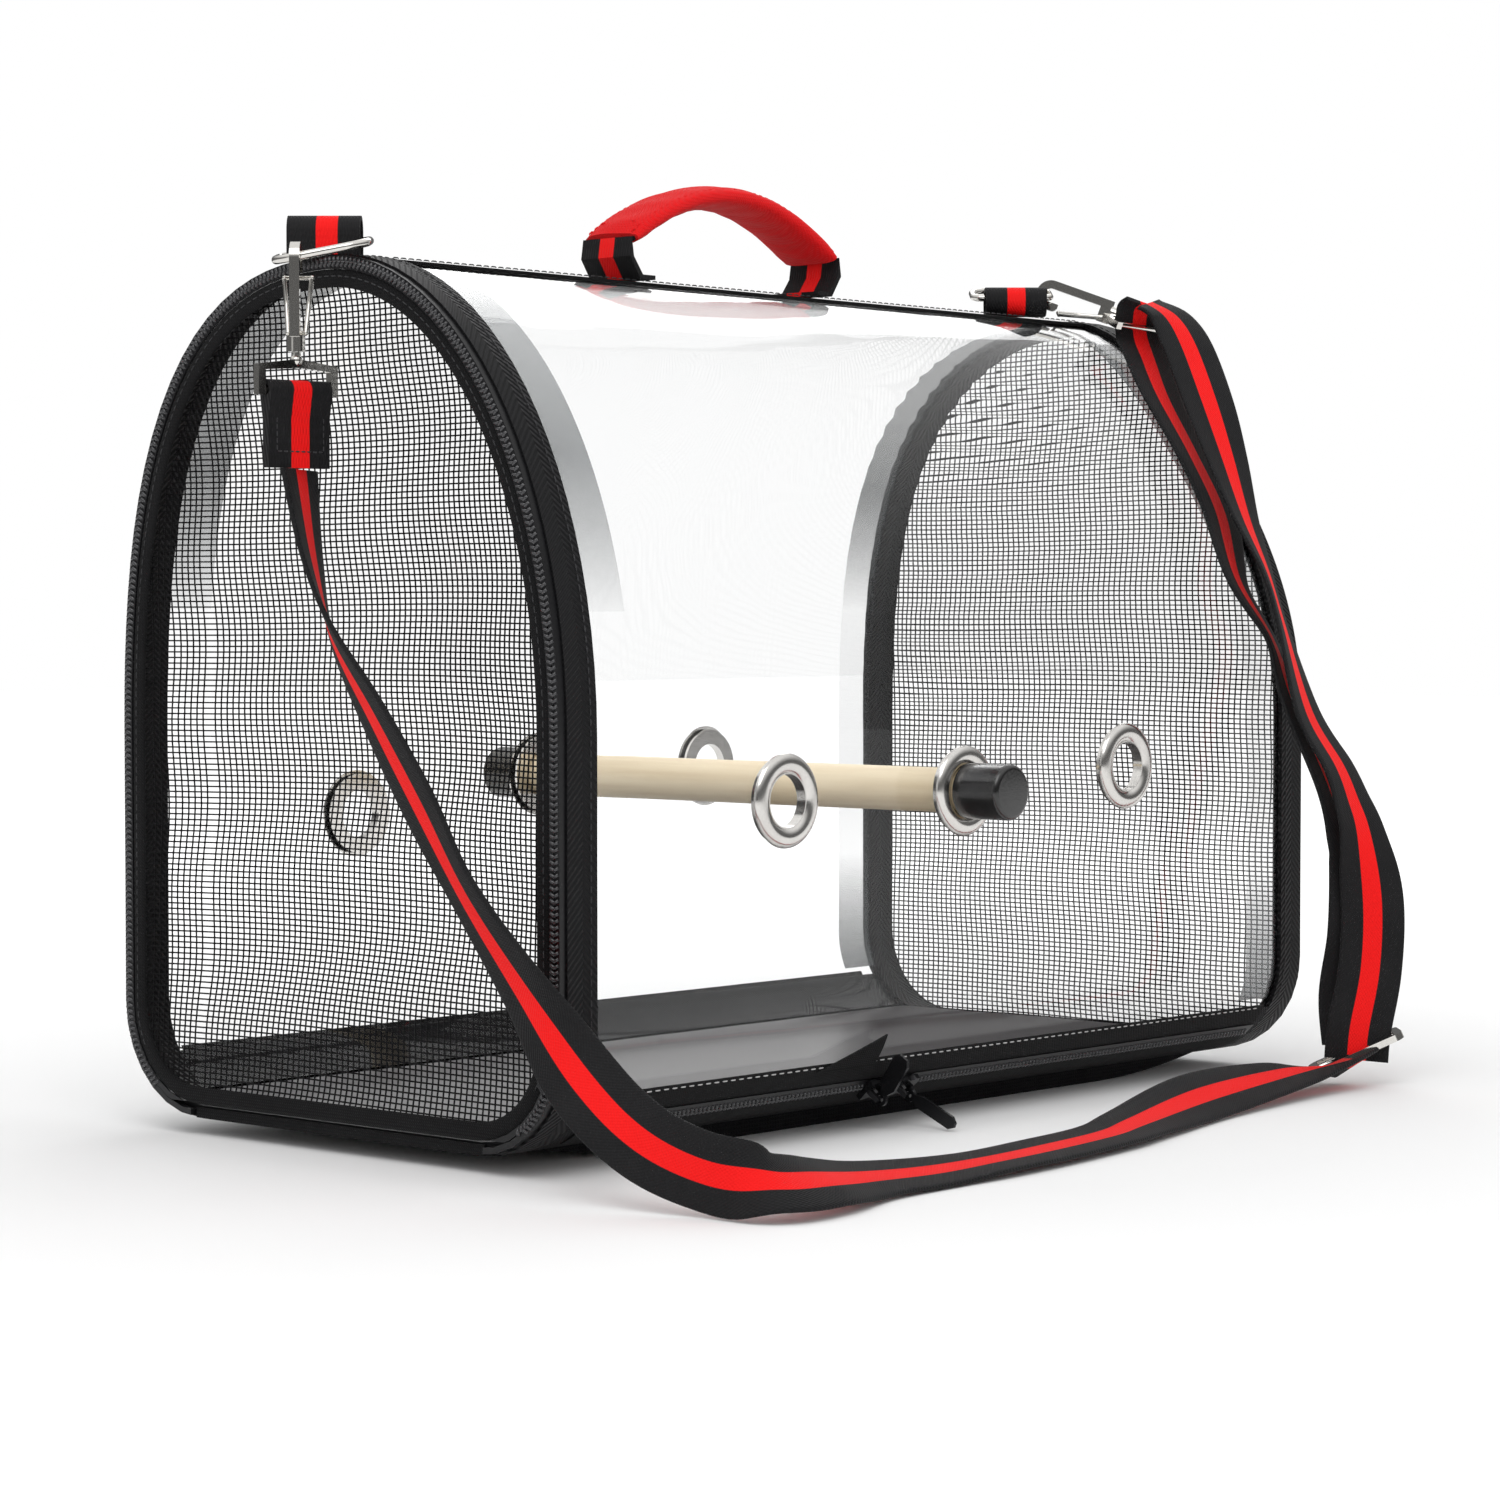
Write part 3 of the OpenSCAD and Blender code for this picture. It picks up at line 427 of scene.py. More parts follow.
@dataclass(frozen=True)
class WebbingFinish(Finish):
    """Black webbing with a red middle stripe.

    It is laid out by a UV map, whose U runs across from 0 to 1, or, where a width direction is given,
    by the piece's Object coordinates.
    """

    width_way: Point | None = None
    middle_at: Point = (0.0, 0.0, 0.0)
    width: float = 0.025
    black: Rgb = (0.006, 0.006, 0.007)
    worn_black: Rgb = (0.018, 0.017, 0.018)
    red: Rgb = (0.92, 0.002, 0.002)
    worn_red: Rgb = (0.96, 0.005, 0.005)
    half: float = 0.0037
    row_pitch: float = 0.0016
    cord_pitch: float = 0.0012

    def make(self) -> bpy.types.Material:
        """Makes the webbing."""
        m, g, s = new_surface(self.name, {"Roughness": 0.7, "Sheen Weight": 0.03, "Sheen Roughness": 0.4,
                                          "Specular IOR Level": 0.25})
        at = object_point(g)
        if self.width_way is None:
            u, along, _ = g.xyz(g.add("ShaderNodeUVMap", {"uv_map": "across"}).outputs[0])
            across = g.sum("MULTIPLY", g.sum("SUBTRACT", u, 0.5), self.width)
        else:
            side = Vector(self.width_way).cross(Vector((0.3, 0.2, 1.0))).normalized()
            from_middle = g.vector("SUBTRACT", at, self.middle_at).outputs[0]
            across = g.vector("DOT_PRODUCT", from_middle, self.width_way).outputs["Value"]
            along = g.vector("DOT_PRODUCT", from_middle, tuple(side)).outputs["Value"]
        stripe = g.group(stripe_group(), Across=across, Half=self.half)
        tone = g.tone(at, self.black, self.worn_black, 0.45, 70.0)
        warm = g.tone(at, self.red, self.worn_red, 0.5, 90.0)
        g.link(g.mix(stripe["Mask"], tone["Color"], warm["Color"]), s.inputs["Base Color"])
        rows = g.sum("SINE", g.sum("MULTIPLY", along, 2 * math.pi / self.row_pitch))
        cords = g.sum("SINE", g.sum("MULTIPLY", across, 2 * math.pi / self.cord_pitch))
        height = g.sum("MULTIPLY_ADD", g.sum("MULTIPLY", rows, cords), 0.5, 0.5)
        add_bump(g, s, height, 0.00025, 0.8)
        return m


@dataclass(frozen=True)
class MetalFinish(Finish):
    """Plated or blackened metal with faint marks."""

    color: Rgb = (0.80, 0.78, 0.74)
    rough: float = 0.12
    metallic: float = 1.0

    def make(self) -> bpy.types.Material:
        """Makes the metal."""
        m, g, s = new_surface(self.name, {"Metallic": self.metallic, "Roughness": self.rough})
        at = object_point(g)
        darker = tuple(c * 0.72 for c in self.color)
        tone = g.tone(at, self.color, darker, 0.35, 120.0)
        g.link(tone["Color"], s.inputs["Base Color"])
        g.link(g.sum("MULTIPLY_ADD", tone["Rough"], 0.14, self.rough), s.inputs["Roughness"])
        return m


@dataclass(frozen=True)
class ClearSheetFinish(Finish):
    """Clear soft sheet: light passes almost straight, and its face reflects in slow waves."""

    tint: Rgb = (0.998, 1.0, 1.0)

    def make(self) -> bpy.types.Material:
        """Makes the clear sheet."""
        m, g, s = new_surface(self.name, {"Roughness": 0.01, "IOR": 1.25, "Transmission Weight": 1.0,
                                          "Base Color": (*self.tint, 1)})
        at = object_point(g)
        waves = g.add("ShaderNodeTexNoise", inputs={"Vector": at, "Scale": 9.0, "Detail": 2.0})
        add_bump(g, s, waves.outputs[0], 0.004, 0.25)
        shadow = g.add("ShaderNodeLightPath").outputs["Is Shadow Ray"]
        g.link(g.sum("SUBTRACT", 1.0, g.sum("MULTIPLY", shadow, 0.94)), s.inputs["Alpha"])
        return m


@dataclass(frozen=True)
class WoodFinish(Finish):
    """Pale turned wood with the grain along the perch."""

    pale: Rgb = (0.93, 0.79, 0.56)
    dark: Rgb = (0.76, 0.60, 0.38)

    def make(self) -> bpy.types.Material:
        """Makes the wood."""
        m, g, s = new_surface(self.name, {"Roughness": 0.55, "Coat Weight": 0.05})
        stretch = g.add("ShaderNodeMapping", inputs={"Vector": object_point(g), "Scale": (1.0, 0.05, 1.0)})
        grain = g.add("ShaderNodeTexNoise", inputs={
            "Vector": stretch.outputs[0], "Scale": 260.0, "Detail": 4.0})
        share = g.sum("MULTIPLY", g.sum("SUBTRACT", grain.outputs[0], 0.42), 2.2, clamp=True)
        g.link(g.mix(share, (*self.pale, 1), (*self.dark, 1)), s.inputs["Base Color"])
        add_bump(g, s, grain.outputs[0], 0.0002, 0.4)
        return m


@dataclass(frozen=True)
class MouldedFinish(Finish):
    """Moulded plastic or rubber with a fine skin."""

    color: Rgb = (0.012, 0.012, 0.013)
    rough: float = 0.3
    coat: float = 0.3
    specular: float = 0.5

    def make(self) -> bpy.types.Material:
        """Makes the moulding."""
        m, g, s = new_surface(self.name, {"Roughness": self.rough, "Coat Roughness": 0.15,
                                          "Specular IOR Level": self.specular})
        at = object_point(g)
        lighter = tuple(c * 1.6 + 0.01 for c in self.color)
        tone = g.tone(at, self.color, lighter, 0.4, 35.0)
        g.link(tone["Color"], s.inputs["Base Color"])
        g.link(g.sum("MULTIPLY", g.sum("SUBTRACT", 1.0, tone["Rough"]), self.coat), s.inputs["Coat Weight"])
        skin = g.add("ShaderNodeTexNoise", inputs={"Vector": at, "Scale": 900.0, "Detail": 2.0})
        add_bump(g, s, skin.outputs[0], 0.00008, 0.5)
        return m


@dataclass(frozen=True)
class SmokySheetFinish(Finish):
    """Grey see-through facing sewn inside the sheet's end; its grey is its own, while its opacity banded by
    height is painted reflection.
    """

    color: Rgb = (0.14, 0.15, 0.155)
    worn: Rgb = (0.20, 0.22, 0.22)
    top_z: float = 0.31

    def make(self) -> bpy.types.Material:
        """Makes the facing."""
        m, g, s = new_surface(self.name, {"Roughness": 0.35, "Specular IOR Level": 0.2})
        at = object_point(g)
        # Painted reflection: opacity set by height, denser at the foot and in a band near the top, almost
        # clear in the middle.
        ramp = g.add("ShaderNodeValToRGB", inputs={0: g.sum("DIVIDE", g.xyz(at)[2], self.top_z)})
        stops = ramp.color_ramp.elements
        stops[0].position, stops[0].color = 0.10, (0.60, 0.60, 0.60, 1)
        stops[1].position, stops[1].color = 0.88, (0.46, 0.46, 0.46, 1)
        for at_height, share in ((0.26, 0.14), (0.60, 0.05), (0.69, 0.34), (0.77, 0.56)):
            stops.new(at_height).color = (share, share, share, 1)
        g.link(ramp.outputs[0], s.inputs["Alpha"])
        tone = g.tone(at, self.color, self.worn, 0.3, 12.0)
        g.link(tone["Color"], s.inputs["Base Color"])
        return m


@dataclass(frozen=True)
class StudioFinish(Finish):
    """White paper floor that the camera and the gloss see as white."""

    color: Rgb = (0.93, 0.93, 0.93)

    def make(self) -> bpy.types.Material:
        """Makes the paper."""
        m, g, s = new_surface(self.name, {"Roughness": 0.9, "Specular IOR Level": 0.0,
                                          "Base Color": (*self.color, 1), "Emission Color": (1, 1, 1, 1)})
        reach = g.vector("LENGTH", object_point(g)).outputs["Value"]
        far = g.sum("MULTIPLY", g.sum("SUBTRACT", reach, 0.26), 0.9, clamp=True)
        seen = g.add("ShaderNodeLightPath").outputs
        clear = g.sum("MAXIMUM", seen["Is Camera Ray"], seen["Is Transmission Ray"])
        glow = g.sum("MULTIPLY", g.sum("MULTIPLY", far, clear), 0.30)
        g.link(glow, s.inputs["Emission Strength"])
        return m


BLACK_CLOTH = ClothFinish("black_cloth")
SOFT_CLOTH = ClothFinish("base_cloth", (0.006, 0.006, 0.007), (0.018, 0.018, 0.020), 0.0014, 0.5, 0.7, 0.03)
NET_THREAD = ClothFinish("net_thread", (0.004, 0.004, 0.0045), (0.012, 0.012, 0.013), 0.0008, 0.4, 0.6,
                         0.0, 0.15)
NEAR_TAPE = RibbedTapeFinish("near_ribbed_tape", -0.206)
FAR_TAPE = RibbedTapeFinish("far_ribbed_tape", 0.206)
RED_GRIP = ClothFinish("red_grip_cloth", (0.74, 0.003, 0.005), (0.86, 0.010, 0.012), 0.0012, 0.6, 0.75, 0.05)
STRAP_WEBBING = WebbingFinish("strap_webbing")
CLEAR_SHEET = ClearSheetFinish("clear_sheet")
BRIGHT_METAL = MetalFinish("bright_plating", (0.80, 0.78, 0.74), 0.09)
EYELET_METAL = MetalFinish("eyelet_plating", (0.78, 0.76, 0.73), 0.16)
BLACK_METAL = MetalFinish("black_slider_metal", (0.02, 0.02, 0.022), 0.22, 0.6)
SPRING_STEEL = MetalFinish("spring_steel", (0.35, 0.35, 0.36), 0.35)
ZIP_NYLON = MouldedFinish("zip_nylon", (0.006, 0.006, 0.007), 0.38, 0.15, 0.3)
ZIP_TEETH = MouldedFinish("zip_teeth", (0.030, 0.030, 0.033), 0.25, 0.5)
FLOOR_BOARD = MouldedFinish("floor_board", (0.070, 0.066, 0.068), 0.30, 0.0, 0.20)
CAP_RUBBER = MouldedFinish("cap_rubber", (0.006, 0.006, 0.006), 0.18, 0.8)
PERCH_WOOD = WoodFinish("perch_wood")
WHITE_THREAD = ClothFinish("pale_thread", (0.55, 0.55, 0.55), (0.7, 0.7, 0.7), 0.0006, 0.5, 0.7, 0.1)
DARK_THREAD = ClothFinish("dark_thread", (0.03, 0.03, 0.032), (0.08, 0.08, 0.085), 0.0006, 0.5, 0.5, 0.1)
SMOKY_FACING = SmokySheetFinish("smoky_facing")
STUDIO_PAPER = StudioFinish("studio_paper")


# ---------------------------------------------------------------- shapes


@dataclass(frozen=True)
class TunnelShape:
    """The tunnel's outline as the solids have it, in metres."""

    half_w: float = 0.1105
    spring_z: float = SPRING_Z
    rise: float = 0.163
    corner_r: float = 0.040
    end_lift: float = 0.006
    back_bulge: float = 0.07
    front_sag: float = 0.08
    arch_steps: int = 120
    corner_steps: int = 10

    def arch(self, d: float, end: End, turn: float) -> tuple[float, float]:
        """Point on the arch.

        Args:
            d: how far it is drawn inwards.
            end: which end's arch.
            turn: degrees, from 0 at the back over the crest to 180 at the front.

        Returns:
            Its Y and Z.
        """
        t = math.radians(turn)
        f = 1 + (self.back_bulge if turn < 90 else -self.front_sag * end.value) * math.sin(2 * t) ** 2
        return (self.half_w - d) * math.cos(t) * f, self.spring_z + (self.rise - d) * math.sin(t) * f

    def corner(self, d: float, turn: float, side: int) -> tuple[float, float]:
        """Point on a bottom corner.

        Args:
            d: how far it is drawn inwards.
            turn: degrees round the corner.
            side: 1 at the back and -1 at the front.

        Returns:
            Its Y and Z.
        """
        t = math.radians(turn)
        r = self.corner_r - d
        y = side * (self.half_w - self.corner_r) + r * math.cos(t)
        return y, self.end_lift + self.corner_r + r * math.sin(t)

    def run(self, d: float, end: End, foot: float) -> Outline:
        """Line from the back side at height foot over the crest to the front side.

        Args:
            d: how far it is drawn inwards.
            end: which end's arch.
            foot: height at which it starts and stops.

        Returns:
            Its Y and Z points.
        """
        low = (foot - self.end_lift - self.corner_r) / (self.corner_r - d)
        turn = math.degrees(math.asin(max(-1.0, min(0.0, low))))
        n = self.corner_steps
        shares = [] if foot > self.end_lift + self.corner_r else range(n + 1)
        back = [self.corner(d, turn * (1 - i / n), 1) for i in shares]
        front = [self.corner(d, 180 - turn * i / n, -1) for i in shares]
        return back + self.over(d, end) + front

    def over(self, d: float, end: End) -> Outline:
        """The arch itself, from the back to the front."""
        return [self.arch(d, end, 180 * i / self.arch_steps) for i in range(self.arch_steps + 1)]

    def loop(self, d: float, end: End) -> Outline:
        """The whole closed outline."""
        n = self.corner_steps
        return (self.over(d, end) + [self.corner(d, 180 + 90 * i / n, -1) for i in range(n + 1)]
                + [self.corner(d, 270 + 90 * i / n, 1) for i in range(n + 1)])

    def side_y(self, z: float) -> float:
        """Distance from the middle plane to the body's side at a height."""
        drop = max(0.0, self.end_lift + self.corner_r - z)
        return self.half_w - self.corner_r + math.sqrt(self.corner_r ** 2 - drop ** 2)


TUNNEL = TunnelShape()


def spaced(points: Sequence[Vector], pitch: float) -> list[tuple[Vector, Vector]]:
    """Even steps along a line.

    Args:
        points: the line.
        pitch: wanted distance between steps.

    Returns:
        Place and direction of each step.
    """
    lengths = [0.0]
    for a, b in zip(points, points[1:]):
        lengths.append(lengths[-1] + (b - a).length)
    count = max(1, round(lengths[-1] / pitch))
    steps, k = [], 0
    for i in range(count):
        s = (i + 0.5) * lengths[-1] / count
        while k < len(points) - 2 and lengths[k + 1] < s:
            k += 1
        part = (s - lengths[k]) / max(1e-9, lengths[k + 1] - lengths[k])
        steps.append((points[k].lerp(points[k + 1], part), (points[k + 1] - points[k]).normalized()))
    return steps


def stand(at: Vector, way: Vector, face: Vector) -> Matrix:
    """Place of a copy: its X along way, its Z as near to face as it can be.

    Args:
        at: where it stands.
        way: direction of its X.
        face: direction of its Z.

    Returns:
        Its matrix.
    """
    x = way.normalized()
    y = face.cross(x).normalized()
    z = x.cross(y)
    m = Matrix((x, y, z)).transposed().to_4x4()
    m.translation = at
    return m


def take(name: str) -> bpy.types.Object:
    """Names the object that an operator has just added.

    Args:
        name: the name for it and its mesh.

    Returns:
        The object.
    """
    piece = bpy.context.object
    piece.name = name
    piece.data.name = name
    return piece


def new_mesh(name: str, points: Sequence[Vector], faces: Sequence[Sequence[int]]) -> bpy.types.Object:
    """Makes an object of points and faces and links it to the scene.

    Args:
        name: its name.
        points: its points.
        faces: its faces.

    Returns:
        The object.
    """
    mesh = bpy.data.meshes.new(name)
    mesh.from_pydata([tuple(p) for p in points], [], [tuple(f) for f in faces])
    mesh.update()
    piece = bpy.data.objects.new(name, mesh)
    bpy.context.scene.collection.objects.link(piece)
    return piece


def soften(piece: bpy.types.Object, degrees: float = 35.0) -> bpy.types.Object:
    """Shades a piece smooth.

    Args:
        piece: the piece.
        degrees: edges sharper than this stay sharp.

    Returns:
        The piece.
    """
    mesh = piece.data
    mesh.polygons.foreach_set("use_smooth", [True] * len(mesh.polygons))
    mesh.set_sharp_from_angle(angle=math.radians(degrees))
    mesh.update()
    return piece


def alone(piece: bpy.types.Object) -> None:
    """Deselects everything and makes one piece selected and active."""
    bpy.ops.object.select_all(action="DESELECT")
    piece.select_set(True)
    bpy.context.view_layer.objects.active = piece


def tidy_normals(piece: bpy.types.Object) -> bpy.types.Object:
    """Turns all faces outwards.

    Args:
        piece: the piece, a closed mesh.

    Returns:
        The piece.
    """
    alone(piece)
    bpy.ops.object.mode_set(mode="EDIT")
    bpy.ops.mesh.select_all(action="SELECT")
    bpy.ops.mesh.normals_make_consistent(inside=False)
    bpy.ops.object.mode_set(mode="OBJECT")
    return piece


def tapered_block(name: str, size: tuple[float, float, float], top: float) -> bpy.types.Object:
    """A small block whose top is narrower than its foot, with eased edges.

    Args:
        name: its name.
        size: its length, width and height.
        top: share of its foot that the top keeps.

    Returns:
        The block.
    """
    bpy.ops.object.select_all(action="DESELECT")
    bpy.ops.mesh.primitive_cube_add(size=1.0)
    piece = take(name)
    bpy.ops.object.mode_set(mode="EDIT")
    bpy.ops.mesh.select_all(action="SELECT")
    bpy.ops.transform.resize(value=size)
    bpy.ops.mesh.select_all(action="DESELECT")
    bpy.ops.object.mode_set(mode="OBJECT")
    for face in piece.data.polygons:
        face.select = face.normal.z > 0.9
    bpy.ops.object.mode_set(mode="EDIT")
    bpy.ops.transform.resize(value=(top, top, 1.0))
    bpy.ops.mesh.bevel(offset=min(size) * 0.22, segments=1)
    bpy.ops.object.mode_set(mode="OBJECT")
    return piece


def thread_stitch(name: str, length: float, radius: float) -> bpy.types.Object:
    """One stitch: a short thread that dips into the cloth at both its ends, lying along X.

    Args:
        name: its name.
        length: its length.
        radius: the thread's radius.

    Returns:
        The stitch.
    """
    bpy.ops.object.select_all(action="DESELECT")
    bpy.ops.mesh.primitive_cylinder_add(vertices=STITCH_SIDES, radius=radius, depth=length * 0.6)
    piece = take(name)
    bpy.ops.object.mode_set(mode="EDIT")
    bpy.ops.mesh.select_all(action="SELECT")
    bpy.ops.transform.rotate(value=math.pi / 2, orient_axis="Y", center_override=(0, 0, 0))
    for way in (1, -1):
        bpy.ops.mesh.select_all(action="DESELECT")
        bpy.ops.object.mode_set(mode="OBJECT")
        for face in piece.data.polygons:
            face.select = face.normal.x * way > 0.9
        bpy.ops.object.mode_set(mode="EDIT")
        bpy.ops.mesh.extrude_region_move(
            TRANSFORM_OT_translate={"value": (way * length * 0.2, 0, -radius * 0.8)})
        bpy.ops.transform.resize(value=(0.6, 0.6, 0.6))
    bpy.ops.object.mode_set(mode="OBJECT")
    return tidy_normals(piece)


def copies(name: str, template: bpy.types.Object, places: Sequence[Matrix]) -> bpy.types.Object:
    """One object made of copies of a template, which is then removed.

    Args:
        name: the new object's name.
        template: the shape that repeats.
        places: the matrix of each copy.

    Returns:
        The object.
    """
    source = template.data
    base = [v.co.copy() for v in source.vertices]
    shape = [tuple(p.vertices) for p in source.polygons]
    points, faces = [], []
    for place in places:
        start = len(points)
        points.extend(place @ p for p in base)
        faces.extend(tuple(start + i for i in f) for f in shape)
    bpy.data.objects.remove(template)
    return soften(new_mesh(name, points, faces), 50)


def swept(name: str, path: Sequence[Vector], ring: Ring, closed: bool = False) -> bpy.types.Object:
    """A closed solid swept along a path.

    Args:
        name: its name.
        path: its centreline.
        ring: gives the section's points at a step, from its number, place and direction.
        closed: whether its end joins its start.

    Returns:
        The object.
    """
    n = len(path)
    rings = []
    for i, at in enumerate(path):
        before = path[(i - 1) % n] if closed else path[max(0, i - 1)]
        after = path[(i + 1) % n] if closed else path[min(n - 1, i + 1)]
        rings.append(ring(i, at, (after - before).normalized()))
    m = len(rings[0])
    points = [p for r in rings for p in r]
    spans = n if closed else n - 1
    faces = [(i * m + k, i * m + (k + 1) % m, ((i + 1) % n) * m + (k + 1) % m, ((i + 1) % n) * m + k)
             for i in range(spans) for k in range(m)]
    if not closed:
        faces.append(tuple(range(m - 1, -1, -1)))
        faces.append(tuple((n - 1) * m + k for k in range(m)))
    return tidy_normals(new_mesh(name, points, faces))


def webbing_ribbon(name: str, path: Sequence[Vector], across: Sequence[Vector], width: float,
                   thickness: float) -> bpy.types.Object:
    """Flat webbing with rounded edges and a UV map that runs across and along it.

    Args:
        name: its name.
        path: its centreline.
        across: the way its width points at each step.
        width: its width.
        thickness: its thickness.

    Returns:
        The ribbon.
    """
    shares = (-0.5, -0.485, -0.44, -0.3, -0.15, 0.0, 0.15, 0.3, 0.44, 0.485, 0.5)
    sides = list(shares) + list(reversed(shares))
    m = len(sides)

    def ring(i: int, at: Vector, way: Vector) -> list[Vector]:
        """Points of the section."""
        w = (across[i] - across[i].dot(way) * way).normalized()
        f = way.cross(w)
        points = []
        for k, s in enumerate(sides):
            rise = thickness / 2 * (0.25 if abs(s) > 0.49 else 0.8 if abs(s) > 0.48 else 1.0)
            rise *= 1.0 - 0.12 * math.cos(2 * math.pi * s)
            points.append(at + width * s * w + (rise if k < len(shares) else -rise) * f)
        return points

    piece = swept(name, path, ring)
    reach = [0.0]
    for a, b in zip(path, path[1:]):
        reach.append(reach[-1] + (b - a).length)
    layer = piece.data.uv_layers.new(name="across")
    for loop in piece.data.loops:
        i, k = divmod(loop.vertex_index, m)
        layer.data[loop.index].uv = (sides[k] + 0.5, reach[i])
    return soften(piece, 60)


def smooth_copy(node: str, body: Body | None, finish: Finish, degrees: float = 32.0) -> bpy.types.Object:
    """A merged, smoothly shaded copy of a CAD node that stands for it.

    Args:
        node: the CAD node.
        body: the body that it moves with, or None to leave it unattached.
        finish: its finish, also given to the node itself.
        degrees: edges sharper than this stay sharp.

    Returns:
        The copy.
    """
    source = frame["nodes"][node]
    finish.dress(source)
    bpy.ops.object.select_all(action="DESELECT")
    piece = bpy.data.objects.new(node + "_dressed", source.data.copy())
    bpy.context.scene.collection.objects.link(piece)
    alone(piece)
    bpy.ops.object.mode_set(mode="EDIT")
    bpy.ops.mesh.select_all(action="SELECT")
    bpy.ops.mesh.remove_doubles(threshold=MERGE_WITHIN)
    bpy.ops.mesh.customdata_custom_splitnormals_clear()
    bpy.ops.object.mode_set(mode="OBJECT")
    soften(piece, degrees)
    finish.dress(piece)
    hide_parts(node)
    if body is not None:
        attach(piece, body.value)
    return piece


SLOTS = {"base_cloth": "black_cloth", "net_thread": "mesh", "ribbed_tape": "black_cloth", "zip_nylon": "zip",
         "black_slider_metal": "zip_metal", "red_grip_cloth": "red_cloth", "strap_webbing": "webbing",
         "bright_plating": "chrome", "eyelet_plating": "chrome", "perch_wood": "wood", "cap_rubber": "rubber"}


def repaintable(piece: bpy.types.Object, finish: str) -> bpy.types.Object:
    """Returns the piece as it is; the slot that its finish stands for is looked up but not used."""
    return (piece, SLOTS.get(finish, finish))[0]


def dress_nodes(rows: Sequence[tuple[str, Body, Finish]], degrees: float = 32.0) -> None:
    """Stands a smooth copy for each of several CAD nodes.

    Args:
        rows: node, body and finish of each.
        degrees: edges sharper than this stay sharp.
    """
    for node, body, finish in rows:
        repaintable(smooth_copy(node, body, finish, degrees), finish.name)


def place(piece: bpy.types.Object, finish: Finish, body: Body) -> bpy.types.Object:
    """Dresses a new piece and ties it to its body.

    Args:
        piece: the piece.
        finish: its finish.
        body: the body that it moves with.

    Returns:
        The piece.
    """
    finish.dress(piece)
    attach(piece, body.value)
    return piece


def sew(name: str, places: Sequence[Matrix], length: float, radius: float, finish: Finish, body: Body) -> None:
    """Makes a seam of one stitch that repeats.

    Args:
        name: the seam's name.
        places: the matrix of each stitch.
        length: a stitch's length.
        radius: the thread's radius.
        finish: the thread's finish.
        body: the body that it moves with.
    """
    place(copies(name, thread_stitch(name + "_one", length, radius), places), finish, body)


def away(way: Vector, at: Vector, middle: Vector) -> Vector:
    """Direction in an end's plane, square to a line in it, that points away from a middle.

    Args:
        way: the line's direction.
        at: a point on it.
        middle: the point that it turns away from.

    Returns:
        The direction.
    """
    out = way.cross(ALONG).normalized()
    return -out if out.dot(at - middle) < 0 else out


# ---------------------------------------------------------------- sub-assemblies


@dataclass
class Studio:
    """White paper floor, a soft sky and two lamps, seen by the camera of the photo."""

    eye: Vector = field(default_factory=lambda: Vector((-1.1000, -0.9776, 0.1872)))
    target: Vector = field(default_factory=lambda: Vector((-0.00056, -0.00076, 0.13305)))
    lens: float = 92.09
    sky: float = 0.86
    reach: float = 6.0

    def build(self) -> None:
        """Makes the camera, the floor and the light."""
        self.camera()
        self.floor()
        self.sky_light()
        self.lamp("key_light", Vector((-1.2, -0.9, 1.9)), 1.5, 13.0)
        self.lamp("edge_light", Vector((1.3, 0.9, 1.3)), 1.0, 5.0)
        bpy.context.scene.view_settings.view_transform = "Standard"

    def camera(self) -> None:
        """Puts the camera where the photo was taken."""
        data = bpy.data.cameras.new("camera")
        data.lens = self.lens
        data.sensor_width = 36.0
        data.clip_start = 0.05
        camera = bpy.data.objects.new("camera", data)
        camera.location = self.eye
        camera.rotation_euler = (self.target - self.eye).to_track_quat("-Z", "Y").to_euler()
        bpy.context.scene.collection.objects.link(camera)
        bpy.context.scene.camera = camera

    def floor(self) -> None:
        """Lays the paper floor."""
        bpy.ops.object.select_all(action="DESELECT")
        bpy.ops.mesh.primitive_plane_add(size=2 * self.reach)
        floor = take("paper_floor")
        STUDIO_PAPER.dress(floor)

    def sky_light(self) -> None:
        """Even light that the camera, the gloss and the clear sheet see as white."""
        world = bpy.data.worlds.new("white_sky")
        bpy.context.scene.world = world
        world.use_nodes = True
        g = Graph(world.node_tree)
        path = g.add("ShaderNodeLightPath").outputs
        way = g.xyz(g.add("ShaderNodeTexCoord").outputs["Generated"])
        roof = g.sum("MULTIPLY", g.sum("SUBTRACT", way[2], 0.25), 2.2, clamp=True)
        side = g.sum("MULTIPLY", g.sum("SUBTRACT", 0.3, g.sum("ABSOLUTE", way[1])), 2.0, clamp=True)
        gloss = g.sum("ADD", g.sum("MULTIPLY", g.sum("MAXIMUM", roof, side), 0.80), 0.12)
        shine = g.sum("MULTIPLY", path["Is Glossy Ray"], g.sum("SUBTRACT", gloss, self.sky))
        plain = g.sum("ADD", shine, self.sky)
        seen = g.sum("MAXIMUM", path["Is Camera Ray"], path["Is Transmission Ray"])
        strength = g.sum("ADD", g.sum("MULTIPLY", seen, g.sum("SUBTRACT", 1.0, plain)), plain)
        background = world.node_tree.nodes["Background"]
        background.inputs["Color"].default_value = (1, 1, 1, 1)
        g.link(strength, background.inputs["Strength"])

    def lamp(self, name: str, at: Vector, size: float, power: float) -> None:
        """Adds an area lamp that looks at the carrier.

        Args:
            name: its name.
            at: where it hangs.
            size: its side.
            power: its power in watts.
        """
        data = bpy.data.lights.new(name, "AREA")
        data.size = size
        data.energy = power
        lamp = bpy.data.objects.new(name, data)
        lamp.location = at
        lamp.rotation_euler = (self.target - at).to_track_quat("-Z", "Y").to_euler()
        bpy.context.scene.collection.objects.link(lamp)


